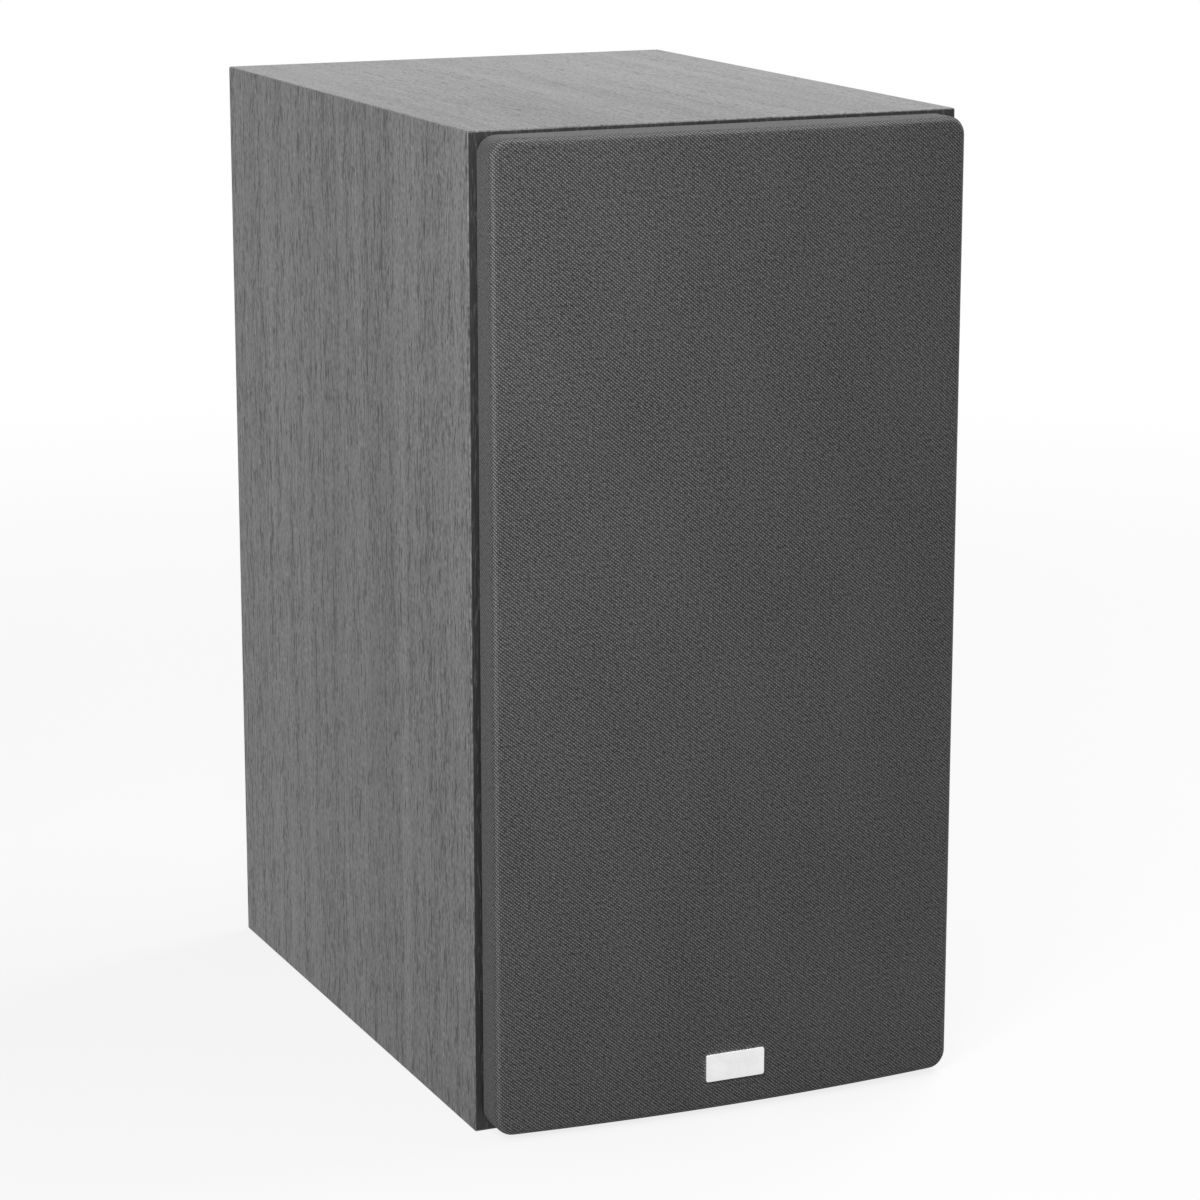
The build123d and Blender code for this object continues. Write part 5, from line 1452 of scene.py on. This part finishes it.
@dataclass
class Wadding:
    """Four fibre pads on the side walls, below and above the shelf."""

    thick: float = 17.4
    thin: float = 2.5
    front: float = 60.0
    rear: float = 42.0
    panel: float = PANEL
    air: float = 0.6
    rounding: float = 6.0
    lumps: float = 3.2
    lump_rate: float = 0.045
    fluff: float = 0.5
    fluff_rate: float = 0.3
    across: int = 26
    seed: float = 7.3
    side_seed: float = 91.0

    def depth(self, y: float, z: float, edge: float, side: int) -> float:
        """How far a pad stands off its wall.

        Args:
            y: place front to back.
            z: height.
            edge: distance from the pad's nearest edge.
            side: -1 for the left wall, 1 for the right.

        Returns:
            The distance in millimetres.
        """
        share = min(1.0, edge / self.rounding)
        crown = sqrt(max(0.0, 1 - (1 - share) ** 2))
        lump = noise.noise(Vector((y, z + self.side_seed * side, self.seed)) * self.lump_rate)
        fluff = noise.noise(Vector((y, z, self.seed * side)) * self.fluff_rate)
        full = self.thick - self.thin - self.lumps
        return self.thin + full * crown + share * (self.lumps * lump + self.fluff * fluff)

    def pad(self, side: int, low: float, high: float) -> bpy.types.Mesh:
        """One pad: flat on the wall, rounded and lumpy towards the room.

        Args:
            side: -1 for the left wall, 1 for the right.
            low: its lowest height.
            high: its highest.

        Returns:
            The mesh.
        """
        skin = Skin()
        y0, y1 = FRONT_Y + self.front, REAR_Y - self.rear
        wall = side * (box("cabinet_right")[1].x - self.panel - self.air)
        up = round(self.across * (high - low) / (y1 - y0))
        sheet = []
        for j in range(up + 1):
            row, z = [], low + (high - low) * j / up
            for i in range(self.across + 1):
                y = y0 + (y1 - y0) * i / self.across
                edge = min(y - y0, y1 - y, z - low, high - z)
                row.append((wall - side * self.depth(y, z, edge, side), y, z))
            sheet.append(skin.ring(row))
        skin.loft(sheet, around=False)
        border = outline_of(sheet)
        foot = skin.ring([(wall, vert.co.y / MM, vert.co.z / MM) for vert in border])
        skin.bridge(border, foot)
        skin.mesh.faces.new(foot)
        return skin.finish("pad", sharp=60.0)

    def build(self) -> None:
        """Builds the four pads."""
        shelf_low, shelf_high = (corner.z for corner in box("window_brace"))
        floor, ceiling = self.panel + self.air, box("cabinet_top")[1].z - self.panel - self.air
        levels = {"low": (floor, shelf_low - self.air), "high": (shelf_high + self.air, ceiling)}
        for side, hand in ((-1, "left"), (1, "right")):
            for level, (low, high) in levels.items():
                name, mesh = f"pad_{hand}_{level}", self.pad(side, low, high)
                finishes = (WADDING_FIBRES,)
                piece = add_piece(name, mesh, finishes, "polyester", Body.CABINET, "wadding")


# ---- studio --------------------------------------------------------------------------------------
@dataclass
class Studio:
    """White room, two soft lamps and the camera."""

    sky: float = 0.24
    floor_tone: float = 0.5
    floor_glow: float = 0.82
    floor_near: float = 0.4
    floor_far: float = 1.5
    floor_lines: tuple[float, ...] = (-6000.0, -600.0, 600.0, 6000.0)
    lamps: tuple[tuple[str, Place, float, float], ...] = (
        ("key", (-0.45, -0.6, 0.55), 0.4, 3.7),
        ("overhead", (0.65, 0.12, 1.15), 0.8, 9.4),
    )
    lit_place: Place = (0.0, 0.0, 0.19)
    camera_place: Place = (-0.5950, -1.3749, 0.5230)
    heading: float = 23.813
    pitch: float = -13.368
    lens: float = 113.67
    sensor: float = 36.0

    @staticmethod
    def seen(tree: Tree) -> Wire:
        """Tells rays that show the room from those that only light it.

        Args:
            tree: where the nodes go.

        Returns:
            1 for rays from the camera, mirrored or through glass.
        """
        camera = tree.add("LightPath", output="Is Camera Ray")
        glossy, through = camera.output("Is Glossy Ray"), camera.output("Is Transmission Ray")
        return camera.larger(glossy).larger(through)

    @staticmethod
    def put(name: str, data: bpy.types.ID) -> bpy.types.Object:
        """Adds an object to the scene.

        Args:
            name: its name.
            data: its mesh, lamp or camera data.

        Returns:
            The object.
        """
        made = bpy.data.objects.new(name, data)
        bpy.context.scene.collection.objects.link(made)
        return made

    def build_world(self) -> None:
        """White where it is seen, softer where it lights the object."""
        world = bpy.data.worlds.new("room")
        tree = Tree(world)
        background = tree.nodes["Background"].inputs
        tree.feed(background["Color"], grey(1.0))
        tree.feed(background["Strength"], self.seen(tree) * (1.0 - self.sky) + self.sky)
        bpy.context.scene.world = world

    def build_floor(self) -> None:
        """White floor that keeps the object's shadow and runs into the room's white further out."""
        skin = Skin()
        rows = [skin.ring([(x, y, 0.0) for x in self.floor_lines]) for y in self.floor_lines]
        skin.loft(rows, around=False)
        floor = self.put("floor", skin.finish("floor"))
        material = bpy.data.materials.new("white_floor")
        tree = Tree(material)
        tree.nodes.remove(tree.nodes["Principled BSDF"])
        seen = self.seen(tree)
        paint = tree.mix(seen, grey(self.floor_tone), grey(1.0))
        matt = tree.add("BsdfDiffuse", {}, {"Color": paint})
        glow = tree.add("Emission", {}, {"Strength": 1.0})
        place = tree.add("TexCoord", output="Object")
        away = tree.add("VectorMath", {"operation": "LENGTH"}, {0: place}, "Value")
        share = seen * away.step(self.floor_near, self.floor_far, self.floor_glow, 1.0)
        mixed = tree.add("MixShader", {}, {0: share, 1: matt, 2: glow})
        tree.feed(tree.nodes["Material Output"].inputs["Surface"], mixed)
        floor.data.materials.append(material)

    def build_lamps(self) -> None:
        """Two soft square lamps that face the object: one on its left front, one overhead."""
        for name, place, size, power in self.lamps:
            data = bpy.data.lights.new(name, "AREA")
            data.shape, data.size, data.energy = "SQUARE", size, power
            lamp = self.put(name, data)
            lamp.location = place
            towards = Vector(self.lit_place) - lamp.location
            lamp.rotation_euler = towards.to_track_quat("-Z", "Y").to_euler()

    def build_camera(self) -> None:
        """Camera on the object's left front, a little above it."""
        data = bpy.data.cameras.new("camera")
        data.lens, data.sensor_width = self.lens, self.sensor
        camera = self.put("camera", data)
        camera.location = self.camera_place
        camera.rotation_euler = (radians(90.0 + self.pitch), 0.0, -radians(self.heading))
        bpy.context.scene.camera = camera

    def build(self) -> None:
        """Builds the room, the lamps and the camera."""
        self.build_world()
        self.build_floor()
        self.build_lamps()
        self.build_camera()
        bpy.context.scene.view_settings.view_transform = "Standard"
        log.info("studio ready")


def dress_nodes() -> None:
    """Gives each CAD node that stays its finish."""
    for finish, nodes in CARRIED_OVER.items():
        for name in nodes:
            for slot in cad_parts[name].material_slots:
                slot.material = finish.material()
            log.info("node %s: %s", name, finish.name)


def main() -> None:
    """Builds every sub-assembly in order."""
    logging.basicConfig(level=logging.INFO, format="%(name)s: %(message)s")
    Studio().build()
    dress_nodes()
    for assembly in (Cabinet(), Grille(), Woofer(), Tweeter(), Terminals(), Wadding()):
        assembly.build()
        log.info("%s done", type(assembly).__name__)


if __name__ == "__main__":
    main()
